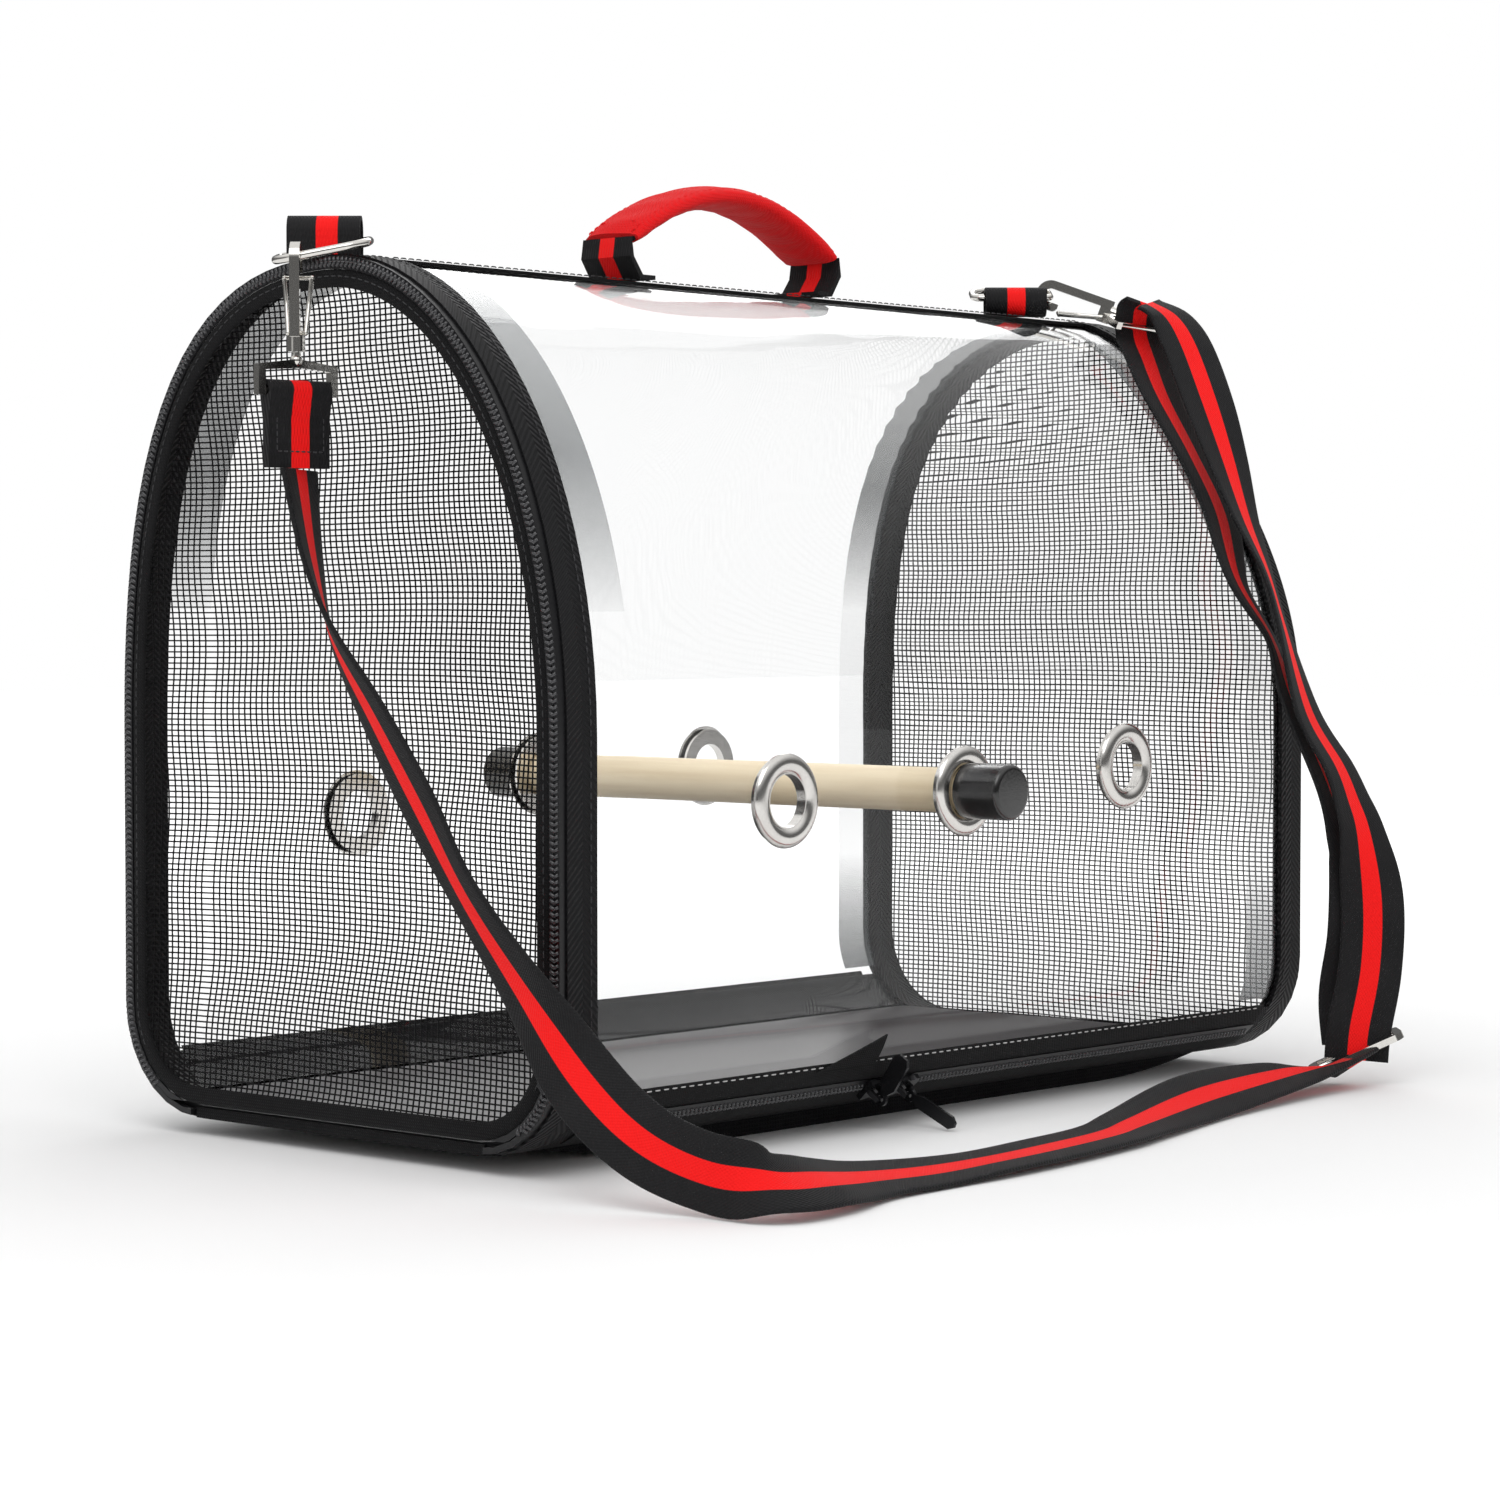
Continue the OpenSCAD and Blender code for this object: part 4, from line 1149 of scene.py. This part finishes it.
@dataclass
class Strap:
    """The shoulder strap: two free runs of webbing, the run back to the adjuster, and its sewn end."""

    width: float = 0.025
    thickness: float = 0.0016
    steps: int = 8
    front: tuple[Row, ...] = (
        (-.231, -.002, .234, -8, -3, 0), (-.230, -.007, .204, -8, -5, 1), (-.229, -.016, .178, -6, -6, 3),
        (-.228, -.036, .150, -4, -6, 5), (-.229, -.059, .121, -3, -6, 5), (-.230, -.081, .093, -4, -6, 5),
        (-.232, -.109, .065, -2, -6, 6), (-.235, -.139, .038, 4, -5, 6), (-.235, -.164, .022, 3, -3, 8),
        (-.232, -.190, .014, 1, -2, 9), (-.222, -.208, .012, 4, 6, 6), (-.200, -.208, .010, -1, 8, 5),
        (-.167, -.198, .006, 1, 9, 3), (-.132, -.196, .004, 0, 9, 2), (-.101, -.196, .004, -1, 9, 1),
        (-.064, -.193, .004, -1, 9, 1), (-.022, -.187, .004, -2, 9, 1), (.003, -.181, .005, -2, 9, 2),
        (.063, -.168, .008, -3, 8, 5), (.130, -.158, .009, -2, 8, 2), (.158, -.157, .009, -4, 8, -1),
        (.181, -.158, .009, -6, 7, -4))
    rise: tuple[Row, ...] = (
        (.181, -.158, .010, 6, -7, 4), (.183, -.158, .022, 6, -7, 3), (.189, -.159, .045, 6, -7, 1),
        (.192, -.158, .071, 6, -7, 0), (.191, -.154, .098, 9, -2, 0), (.189, -.150, .112, 9, 0, 0),
        (.187, -.145, .125, 9, 1, 0), (.182, -.134, .146, 9, 2, 0), (.180, -.123, .181, 8, 4, 0),
        (.181, -.115, .201, 8, 4, 0), (.183, -.103, .223, 9, 2, 0), (.188, -.090, .249, 9, -1, 0),
        (.194, -.077, .272, 8, -3, 0), (.201, -.062, .295, 8, -4, -1), (.203, -.052, .307, 9, -3, -1),
        (.200, -.043, .313, 9, -2, -1))
    back: tuple[Row, ...] = (
        (.200, -.042, .313, 9, -2, -1), (.200, -.039, .311, 9, -2, -1), (.200, -.038, .307, 9, -2, 0),
        (.200, -.038, .302, 9, -2, 0), (.199, -.040, .297, 9, -2, 0), (.194, -.047, .289, 9, -1, 0),
        (.186, -.060, .273, 9, 0, 0), (.184, -.076, .250, 9, 1, 0), (.182, -.091, .226, 9, 1, 0),
        (.171, -.107, .199, 9, 3, 0), (.181, -.117, .175, 8, 4, 0), (.182, -.127, .151, 9, 2, 0),
        (.188, -.141, .117, 9, 1, 0), (.192, -.147, .098, 9, -2, 0), (.193, -.150, .085, 8, -4, 0),
        (.192, -.151, .058, 7, -5, 0), (.189, -.150, .034, 6, -7, 2), (.187, -.153, .016, 6, -7, 4))
    end_way: Point = (-0.9938, 0.1111, 0.0)
    end_at: Point = (-0.2330, -0.0033, 0.25)
    box_half_w: float = 0.0095
    box_top: float = 0.004
    box_foot: float = -0.010
    box_out: float = 0.00185

    def line(self, rows: Sequence[Row]) -> tuple[list[Vector], list[Vector]]:
        """Smooth curve through the rows.

        Args:
            rows: place and width direction of each row.

        Returns:
            Its points, and the width direction at each.
        """
        values = [tuple(r[:3]) + tuple(Vector(r[3:]).normalized()) for r in rows]
        n = len(values) - 1
        path, across = [], []
        for i in range(n):
            a, b, c, d = values[max(0, i - 1)], values[i], values[i + 1], values[min(n, i + 2)]
            for k in range(self.steps + (1 if i == n - 1 else 0)):
                t = k / self.steps
                row = [0.5 * (2 * q + (r - p) * t + (2 * p - 5 * q + 4 * r - s) * t * t
                              + (3 * q - p - 3 * r + s) * t ** 3) for p, q, r, s in zip(a, b, c, d)]
                path.append(Vector(row[:3]))
                across.append(Vector(row[3:]))
        return path, across

    def run(self, name: str, node: str, rows: Sequence[Row], far_end: str, lay: str,
            pieces: Sequence[bpy.types.Object] = ()) -> bpy.types.Object:
        """Args:
            name: its name.
            node: the CAD node that it stands for.
            rows: its rows.
            far_end: what its far end has; not used.
            lay: how it lies; not used.
            pieces: the separate pieces on it; not used.

        Returns:
            The run.
        """
        path, across = self.line(rows)
        piece = webbing_ribbon(name, path, across, self.width, self.thickness)
        STRAP_WEBBING.dress(piece)
        length = sum((b - a).length for a, b in zip(path, path[1:]))
        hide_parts(node)
        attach(piece, Body.SHELL.value)
        repaintable(piece, "strap_webbing")
        tuple(path[0])
        [tuple(p) for p in path]
        log.info("%s: %.3f m of webbing", name, length)
        return piece

    def build(self) -> None:
        """Makes the three runs, the sewn end and the adjuster."""
        adjuster = tuple(smooth_copy(node, Body.SHELL, BRIGHT_METAL)
                         for node in ("adjuster_frame", "adjuster_bar"))
        self.run("strap_front_run", "strap_front", self.front, "fitting", "loose", adjuster)
        self.run("strap_rising_run", "strap_rise", self.rise, "object", "hanging")
        self.run("strap_return_run", "strap_return", self.back, "object", "hanging")
        self.sewn_end()

    def sewn_end(self) -> None:
        """Dresses the end that is sewn round the near hook's eye, with its box of stitches."""
        end = WebbingFinish("sewn_end_webbing", self.end_way, self.end_at)
        smooth_copy("near_strap_end", Body.NEAR_SWIVEL, end)
        way = Vector(self.end_way)
        face = way.cross(-UP).normalized()
        if face.x > 0:
            face = -face
        corners = [Vector(self.end_at) + w * way * self.box_half_w + h * UP + face * self.box_out
                   for w, h in ((-1, self.box_top), (1, self.box_top), (1, self.box_foot), (-1, self.box_foot),
                                (-1, self.box_top))]
        places = [stand(at, step, face) for a, b in zip(corners, corners[1:])
                  for at, step in spaced([a, b], 0.0024)]
        sew("sewn_end_stitches", places, 0.002, 0.00028, DARK_THREAD, Body.NEAR_SWIVEL)


@dataclass
class ClearBody:
    """The clear sheet over a padded black base, with its board, crest tape and facings."""

    facing_w: float = 0.020
    facing_d: float = 0.0034
    facing_t: float = 0.0003
    facing_x: float = 0.1990
    low_foot: float = 0.030
    tape_foot: float = 0.185
    crest_y: float = 0.0095
    crest_half: float = 0.195

    def build(self) -> None:
        """Dresses the solids and adds the facings and seams."""
        dress_nodes([(node, Body.SHELL, finish) for node, finish in (
            ("base_tray", SOFT_CLOTH), ("floor_board", FLOOR_BOARD), ("crest_tape", BLACK_CLOTH),
            ("back_hem", BLACK_CLOTH), ("clear_shell", CLEAR_SHEET))])
        self.facing("near_facing", -self.facing_x, End.DOOR, self.tape_foot)
        self.facing("far_facing", self.facing_x - self.facing_w, End.SEWN, self.low_foot)
        self.crest_seams()
        self.side_seams()

    def facing(self, name: str, x: float, end: End, foot: float) -> None:
        """Adds the narrow see-through facing sewn inside one end of the sheet.

        Args:
            name: its name.
            x: where it starts.
            end: which end of the tunnel.
            foot: height at which it ends on both sides.
        """
        line, inner = ([p for p in TUNNEL.run(d, end, self.low_foot) if p[1] >= foot]
                       for d in (self.facing_d, self.facing_d + self.facing_t))
        inner, line = inner[:len(line)], line[:len(inner)]
        n = len(line)
        points, faces = [], []
        for at in (x, x + self.facing_w):
            points.extend(Vector((at, y, z)) for y, z in line + inner)
        for i in range(n - 1):
            faces += [(i, i + 1, 2 * n + i + 1, 2 * n + i), (n + i + 1, n + i, 3 * n + i, 3 * n + i + 1),
                      (i + 1, i, n + i, n + i + 1), (2 * n + i, 2 * n + i + 1, 3 * n + i + 1, 3 * n + i)]
        faces += [(0, 2 * n, 3 * n, n), (n - 1, 2 * n - 1, 4 * n - 1, 3 * n - 1)]
        place(soften(tidy_normals(new_mesh(name, points, faces)), 40), SMOKY_FACING, Body.SHELL)

    def crest_seams(self) -> None:
        """Two rows of stitches along the crest tape."""
        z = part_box("crest_tape")[1][2] - 0.0001
        ends = (-self.crest_half, self.crest_half)
        places = [stand(at, way, UP) for y in (-self.crest_y, self.crest_y)
                  for at, way in spaced([Vector((x, y, z)) for x in ends], 0.0036)]
        sew("crest_stitches", places, 0.0026, 0.00026, DARK_THREAD, Body.SHELL)

    def side_seams(self) -> None:
        """A row of pale stitches along the upper zip tape, and one along the back hem."""
        for name, node, side, finish in (("front_zip_stitches", "front_zip_upper", -1, WHITE_THREAD),
                                         ("back_hem_stitches", "back_hem", 1, DARK_THREAD)):
            low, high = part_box(node)
            z = high[2] - 0.0012
            y = TUNNEL.side_y(z) + 0.00115
            face = Vector((0, side, -0.2)).normalized()
            line = [Vector((low[0] + 0.004, side * y, z)), Vector((high[0] - 0.004, side * y, z))]
            sew(name, [stand(at, way, face) for at, way in spaced(line, 0.0042)], 0.0024, 0.00025, finish,
                Body.SHELL)


@dataclass
class EndFrame:
    """Ribbed binding, spring hoop and cloth border at one end of the tunnel."""

    end: End
    binding: str
    hoop: str
    border: str
    tape: RibbedTapeFinish
    border_body: Body
    seam_x: float
    border_x: float
    border_d: float
    foot: float
    start_d: float = 0.0054
    slim: float = 0.0062
    roll: float = 0.00085
    binding_foot: float = 0.030

    def slim_border(self) -> None:
        """Rolled cloth border, slimmer than the solid, that the net is sewn into."""
        inwards, low = (-0.0009, 0.0095) if self.end is End.SEWN else (0.0009, 0.0135)
        line = [Vector((self.border_x + inwards, y, max(z, low)))
                for y, z in TUNNEL.loop(self.start_d + self.slim / 2, self.end)]
        middle = Vector((self.border_x, 0, MIDDLE_Z))

        def ring(_: int, at: Vector, way: Vector) -> list[Vector]:
            """Flat rounded section, a little fuller in its middle."""
            across = -away(way, at, middle) * (self.slim / 2)
            return [at + across * math.cos(t) + Vector((self.roll * math.sin(t), 0, 0))
                    for t in (2 * math.pi * k / BORDER_SIDES for k in range(BORDER_SIDES))]

        piece = soften(swept(self.border + "_rolled", line, ring, closed=True), 50)
        BLACK_CLOTH.dress(frame["nodes"][self.border])
        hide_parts(self.border)
        place(piece, BLACK_CLOTH, self.border_body)

    def build(self) -> None:
        """Dresses the solids and sews them."""
        repaintable(smooth_copy(self.binding, Body.SHELL, self.tape, 40), "ribbed_tape")
        smooth_copy(self.hoop, Body.SHELL, SPRING_STEEL)
        self.slim_border()
        self.stitches("binding", self.seam_x, -0.00005, self.binding_foot, Body.SHELL, None)
        self.stitches("border", self.border_x, self.border_d, self.foot, self.border_body,
                      ALONG if self.end is End.SEWN else -ALONG)

    def stitches(self, label: str, x: float, d: float, foot: float, body: Body, face: Vector | None) -> None:
        """A row of stitches that follows the arch.

        Args:
            label: what it is sewn to.
            x: where it runs along the tunnel.
            d: how far inside the outline.
            foot: height at which it ends.
            body: the body that it moves with.
            face: the way the cloth faces, or None for outwards from the tunnel.
        """
        middle = Vector((x, 0, MIDDLE_Z))
        line = [Vector((x, y, z)) for y, z in TUNNEL.run(d, self.end, foot)]
        places = [stand(at, way, away(way, at, middle) if face is None else face)
                  for at, way in spaced(line, 0.0034)]
        sew(f"{self.border}_{label}_stitches", places, 0.0024, 0.00024, DARK_THREAD, body)


@dataclass
class NetPanel:
    """Fine net of crossed threads, stretched in a border and sagging a little."""

    name: str
    node: str
    body: Body
    end: End
    x: float
    d: float
    foot: float
    bulge: float
    pitch_y: float = 0.0028
    pitch_z: float = 0.0020
    wire: float = 0.00035
    wave: float = 0.0012
    hem: float = 0.008
    open_share: float = 0.86

    def span(self) -> tuple[Outline, float, float, float]:
        """The panel's outline, its half width, foot and top."""
        line = [(y, max(z, self.foot)) for y, z in TUNNEL.loop(self.d, self.end)]
        return line, max(abs(y) for y, _ in line), min(z for _, z in line), max(z for _, z in line)

    def crossings(self, line: Outline, at: float, axis: int) -> tuple[float, float] | None:
        """Where the outline crosses a line of constant Y or Z.

        Args:
            line: the outline.
            at: the constant.
            axis: 0 for constant Y, 1 for constant Z.

        Returns:
            The lowest and highest crossing, if there are two.
        """
        found = []
        for a, b in zip(line, line[1:] + line[:1]):
            if (a[axis] - at) * (b[axis] - at) < 0:
                t = (at - a[axis]) / (b[axis] - a[axis])
                found.append(a[1 - axis] + t * (b[1 - axis] - a[1 - axis]))
        return (min(found), max(found)) if len(found) > 1 else None

    def depth(self, y: float, z: float, half: float, low: float, high: float) -> float:
        """How far the net stands in from its border at a point.

        Args:
            y: the point's Y.
            z: its Z.
            half: the panel's half width.
            low: its foot.
            high: its top.

        Returns:
            The depth.
        """
        u, v = y / half, (z - low) / (high - low)
        fall = max(0.0, 1 - u * u) * max(0.0, math.sin(math.pi * v)) ** 0.8
        ripple = (math.sin(31 * y + 47 * z) * math.sin(64 * z - 20 * y + 1.1)
                  + 0.5 * math.sin(110 * z + 24 * y))
        return self.bulge * fall + self.wave * ripple * min(1.0, 4 * fall)

    def threads(self, line: Outline, half: float, low: float, high: float,
                axis: int) -> tuple[list[Vector], list[tuple[int, ...]]]:
        """The threads of one direction.

        Args:
            line: the outline.
            half: half width.
            low: foot.
            high: top.
            axis: 0 for upright threads, 1 for level ones.

        Returns:
            Points and faces.
        """
        points: list[Vector] = []
        faces: list[tuple[int, ...]] = []
        pitch, other = (self.pitch_y, self.pitch_z) if axis == 0 else (self.pitch_z, self.pitch_y)
        start, stop = (-half, half) if axis == 0 else (low, high)
        side = -1 if self.end is End.SEWN else 1
        for k in range(1, int((stop - start) / pitch)):
            c = start + k * pitch
            ends = self.crossings(line, c, axis)
            if ends is None or ends[1] - ends[0] < 3 * other:
                continue
            count = int((ends[1] - ends[0]) / other)
            first = len(points)
            for i in range(count + 1):
                w = ends[0] + (ends[1] - ends[0]) * i / count
                y, z = (c, w) if axis == 0 else (w, c)
                drift = 0.0006 * math.sin(38 * z + 9 * y) if axis == 0 else 0.0005 * math.sin(27 * y + 14 * z)
                lift = (0.12 if (i + k) % 2 else -0.12) * self.wire * (1 if axis == 0 else -1)
                x = self.x + side * (self.depth(y, z, half, low, high) + lift)
                at = Vector((x, y + drift, z)) if axis == 0 else Vector((x, y, z + drift))
                flat = Vector((0, 1, 0)) if axis == 0 else UP
                points.extend(at + self.wire * (math.cos(t) * flat + math.sin(t) * ALONG)
                              for t in (0.0, 2 * math.pi / 3, 4 * math.pi / 3))
            for i in range(count):
                a = first + 3 * i
                faces.extend((a + q, a + (q + 1) % 3, a + 3 + (q + 1) % 3, a + 3 + q) for q in range(3))
            faces.append((first + 2, first + 1, first))
            last = first + 3 * count
            faces.append((last, last + 1, last + 2))
        return points, faces

    def build(self) -> None:
        """Makes the net, which stands for the coarse one."""
        line, half, low, high = self.span()
        points, faces = self.threads(line, half, low, high, 0)
        more, others = self.threads(line, half, low, high, 1)
        shift = len(points)
        net = new_mesh(self.name, points + more, faces + [tuple(i + shift for i in f) for f in others])
        soften(tidy_normals(net), 80)
        NET_THREAD.dress(frame["nodes"][self.node])
        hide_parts(self.node)
        repaintable(place(net, NET_THREAD, self.body), "net_thread")


@dataclass
class Zips:
    """The zip round the near end and the long zip under the front."""

    pitch: float = 0.0021
    near_x: float = -0.21625
    door_x: float = -0.21645
    near_d: float = 0.0024
    door_d: float = 0.0037
    arch_foot: float = 0.016
    slant: float = 28.0
    front_slant: float = 25.0
    front_z: float = 0.017
    front_out: float = 0.0014
    row_gap: float = 0.00085

    def build(self) -> None:
        """Dresses tapes, chain and sliders, and adds the teeth."""
        dress_nodes((
            ("near_zip_outer", Body.SHELL, ZIP_NYLON), ("near_hinge_tape", Body.SHELL, BLACK_CLOTH),
            ("door_zip_inner", Body.DOOR, ZIP_NYLON), ("door_slider", Body.DOOR, BLACK_METAL),
            ("door_pull", Body.DOOR_TAB, BLACK_METAL), ("front_zip_upper", Body.SHELL, BLACK_CLOTH),
            ("front_zip_lower", Body.SHELL, BLACK_CLOTH), ("front_zip_chain", Body.SHELL, ZIP_NYLON),
            ("zip_tab", Body.SHELL, BLACK_CLOTH), ("slider_left", Body.ZIP_LEFT, BLACK_METAL),
            ("pull_left", Body.TAB_LEFT, BLACK_METAL), ("slider_right", Body.ZIP_RIGHT, BLACK_METAL),
            ("pull_right", Body.TAB_RIGHT, BLACK_METAL)))
        self.arch_teeth("shell_teeth", Body.SHELL, self.near_x, self.near_d, 0.0)
        self.arch_teeth("door_teeth", Body.DOOR, self.door_x, self.door_d, 0.5)
        self.front_teeth()

    def arch_teeth(self, name: str, body: Body, x: float, d: float, shift: float) -> None:
        """A row of teeth round the near end.

        Args:
            name: its name.
            body: the body that it moves with.
            x: where it stands along the tunnel.
            d: how far inside the outline.
            shift: share of the pitch by which the row is shifted.
        """
        line = [Vector((x, y, z)) for y, z in TUNNEL.run(d, End.DOOR, self.arch_foot)]
        slant = Matrix.Rotation(math.radians(self.slant if body is Body.SHELL else -self.slant), 4, "Z")
        places = [stand(at + way * shift * self.pitch, way, -ALONG) @ slant
                  for at, way in spaced(line, self.pitch)]
        tooth = tapered_block(name + "_one", (0.00115, 0.0026, 0.0011), 0.6)
        place(copies(name, tooth, places), ZIP_TEETH, body)

    def front_teeth(self) -> None:
        """Two rows of teeth along the chain under the front."""
        low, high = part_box("front_zip_chain")
        lean = math.asin((TUNNEL.end_lift + TUNNEL.corner_r - self.front_z) / TUNNEL.corner_r)
        face = Vector((0, -math.cos(lean), -math.sin(lean)))
        up = Vector((0, -math.sin(lean), math.cos(lean)))
        foot = Vector((0, -TUNNEL.side_y(self.front_z), self.front_z)) + face * self.front_out
        places = []
        for row, shift in ((1, 0.0), (-1, 0.5)):
            line = [foot + up * self.row_gap * row + Vector((x, 0, 0))
                    for x in (low[0] + 0.002, high[0] - 0.002)]
            slant = Matrix.Rotation(math.radians(self.front_slant * row), 4, "Z")
            places += [stand(at + Vector((shift * self.pitch, 0, 0)), way, face) @ slant
                       for at, way in spaced(line, self.pitch)]
        tooth = tapered_block("front_tooth", (0.0011, 0.0021, 0.0009), 0.6)
        place(copies("front_teeth", tooth, places), ZIP_TEETH, Body.SHELL)


@dataclass
class Grip:
    """Padded red grip over the handle's webbing, and the feet sewn to the crest."""

    centre: float = -0.020
    span: float = 0.114
    end_z: float = 0.322
    rise: float = 0.020
    half_w: float = 0.0132
    half_t: float = 0.0042
    steps: int = 64
    corners: int = 36
    seam_y: float = 0.0108
    foot_z: float = 0.3094
    foot_half_y: float = 0.0105

    def middle(self, x: float) -> Vector:
        """Point of the handle's middle line at distance x from its centre."""
        return Vector((self.centre + x, 0, self.end_z + self.rise * (1 - (2 * x / self.span) ** 2)))

    def build(self) -> None:
        """Makes the grip and dresses the feet."""
        path = [self.middle(-self.span / 2 + 0.001 + (self.span - 0.002) * i / self.steps)
                for i in range(self.steps + 1)]

        def ring(i: int, at: Vector, way: Vector) -> list[Vector]:
            """Lens-shaped section with two sewn edges."""
            up = Vector((-way.z, 0, way.x)).normalized()
            share = i / self.steps
            end = min(1.0, 0.62 + 9 * min(share, 1 - share))
            points = []
            for k in range(self.corners):
                t = 2 * math.pi * k / self.corners
                y = self.half_w * math.cos(t)
                thick = self.half_t * end * abs(math.sin(t)) ** 0.75 * (1 if math.sin(t) >= 0 else -1)
                fold = math.sin(52 * share + 3 * y / self.half_w)
                crease = 0.00035 * fold * max(0.0, abs(math.sin(t)) - 0.3)
                points.append(at + Vector((0, y, 0)) + up * (thick + crease))
            return points

        grip = soften(swept("padded_grip", path, ring), 60)
        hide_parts("handle_sleeve")
        repaintable(place(grip, RED_GRIP, Body.HANDLE), "red_grip_cloth")
        RED_GRIP.dress(frame["nodes"]["handle_sleeve"])
        smooth_copy("handle_webbing", Body.HANDLE, BLACK_CLOTH)
        self.seams(path)
        self.feet()

    def seams(self, path: Sequence[Vector]) -> None:
        """Stitches along both edges and across both ends of the grip."""
        places = []
        for side in (-1, 1):
            line = [p + Vector((0, side * self.seam_y, 0)) for p in path]
            for at, way in spaced(line, 0.0034):
                up = Vector((-way.z, 0, way.x))
                places.append(stand(at + up * 0.0026, way, up + Vector((0, side * 0.7, 0))))
        for i in (3, len(path) - 4):
            way = (path[i + 1] - path[i - 1]).normalized()
            up = Vector((-way.z, 0, way.x))
            line = [path[i] + Vector((0, y, 0)) for y in (-0.009, 0.009)]
            places += [stand(at + up * 0.0037, step, up) for at, step in spaced(line, 0.0030)]
        sew("grip_stitches", places, 0.0024, 0.0003, RED_GRIP, Body.HANDLE)

    def feet(self) -> None:
        """Dresses the two feet as webbing between the crest and the grip, and sews them to the crest."""
        webbing = WebbingFinish("handle_foot_webbing", (0.0, 1.0, 0.0), (self.centre, 0.0, 0.31))
        for side, node in ((-1, "handle_foot_near"), (1, "handle_foot_far")):
            foot = smooth_copy(node, None, webbing)
            x = self.centre + side * self.span / 2
            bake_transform(foot)
            places = []
            for dx in (-0.0085, -0.0060):
                line = [Vector((x + side * dx, y, self.foot_z)) for y in (-self.foot_half_y, self.foot_half_y)]
                places += [stand(at, way, UP) for at, way in spaced(line, 0.0026)]
            sew(node + "_stitches", places, 0.002, 0.00026, DARK_THREAD, Body.SHELL)


@dataclass
class Hardware:
    """Clips with their loops, eyelets and the perch."""

    loop_way: Point = (0.6642, -0.7476, 0.0)
    near_at: Point = (-0.2118, 0.0041, 0.3077)
    far_at: Point = (0.1653, 0.0, 0.308)
    crisp: float = 40.0

    def build(self) -> None:
        """Dresses every solid of the hardware."""
        for node, middle in (("near_loop", self.near_at), ("far_loop", self.far_at)):
            smooth_copy(node, Body.SHELL, WebbingFinish(node + "_webbing", self.loop_way, middle))
        dress_nodes([(node, body, BRIGHT_METAL) for node, body in (
            ("near_ring", Body.NEAR_CLIP), ("near_hook", Body.NEAR_CLIP), ("near_gate", Body.NEAR_LATCH),
            ("near_eye", Body.NEAR_SWIVEL), ("far_ring", Body.FAR_CLIP), ("far_hook", Body.FAR_CLIP),
            ("far_gate", Body.FAR_LATCH), ("far_eye", Body.FAR_SWIVEL))], self.crisp)
        dress_nodes([(f"eyelet_{side}_{row}", Body.SHELL, EYELET_METAL) for side in ("front", "back")
                     for row in ("near", "middle", "far")], self.crisp)
        dress_nodes((("perch_dowel", Body.PERCH, PERCH_WOOD), ("perch_cap_front", Body.CAP_FRONT, CAP_RUBBER),
                     ("perch_cap_back", Body.CAP_BACK, CAP_RUBBER)), self.crisp)


def build_all() -> None:
    """Makes every sub-assembly in turn."""
    steps: list[tuple[str, object]] = [
        ("studio", Studio()),
        ("strap", Strap()),
        ("clear body", ClearBody()),
        ("near end", EndFrame(
            End.DOOR, "near_binding", "near_hoop", "door_border", NEAR_TAPE, Body.DOOR, seam_x=-0.2020,
            border_x=-0.2162, border_d=0.0078, foot=0.030)),
        ("far end", EndFrame(
            End.SEWN, "far_binding", "far_hoop", "far_border", FAR_TAPE, Body.SHELL, seam_x=0.2020,
            border_x=0.21472, border_d=0.0030, foot=0.030, start_d=0.0006, slim=0.0044)),
        ("door net", NetPanel("door_net", "door_mesh", Body.DOOR, End.DOOR, x=-0.2147, d=0.0102, foot=0.0140,
                              bulge=0.011)),
        ("far net", NetPanel("far_net", "far_mesh", Body.SHELL, End.SEWN, x=0.2130, d=0.0040, foot=0.0085,
                             bulge=0.003)),
        ("zips", Zips()),
        ("grip", Grip()),
        ("hardware", Hardware()),
    ]
    for label, part in steps:
        part.build()
        log.info("%s built, %d objects so far", label, len(bpy.data.objects))


def main() -> None:
    """Builds the look."""
    logging.basicConfig(level=logging.INFO)
    build_all()


if __name__ == "__main__":
    main()
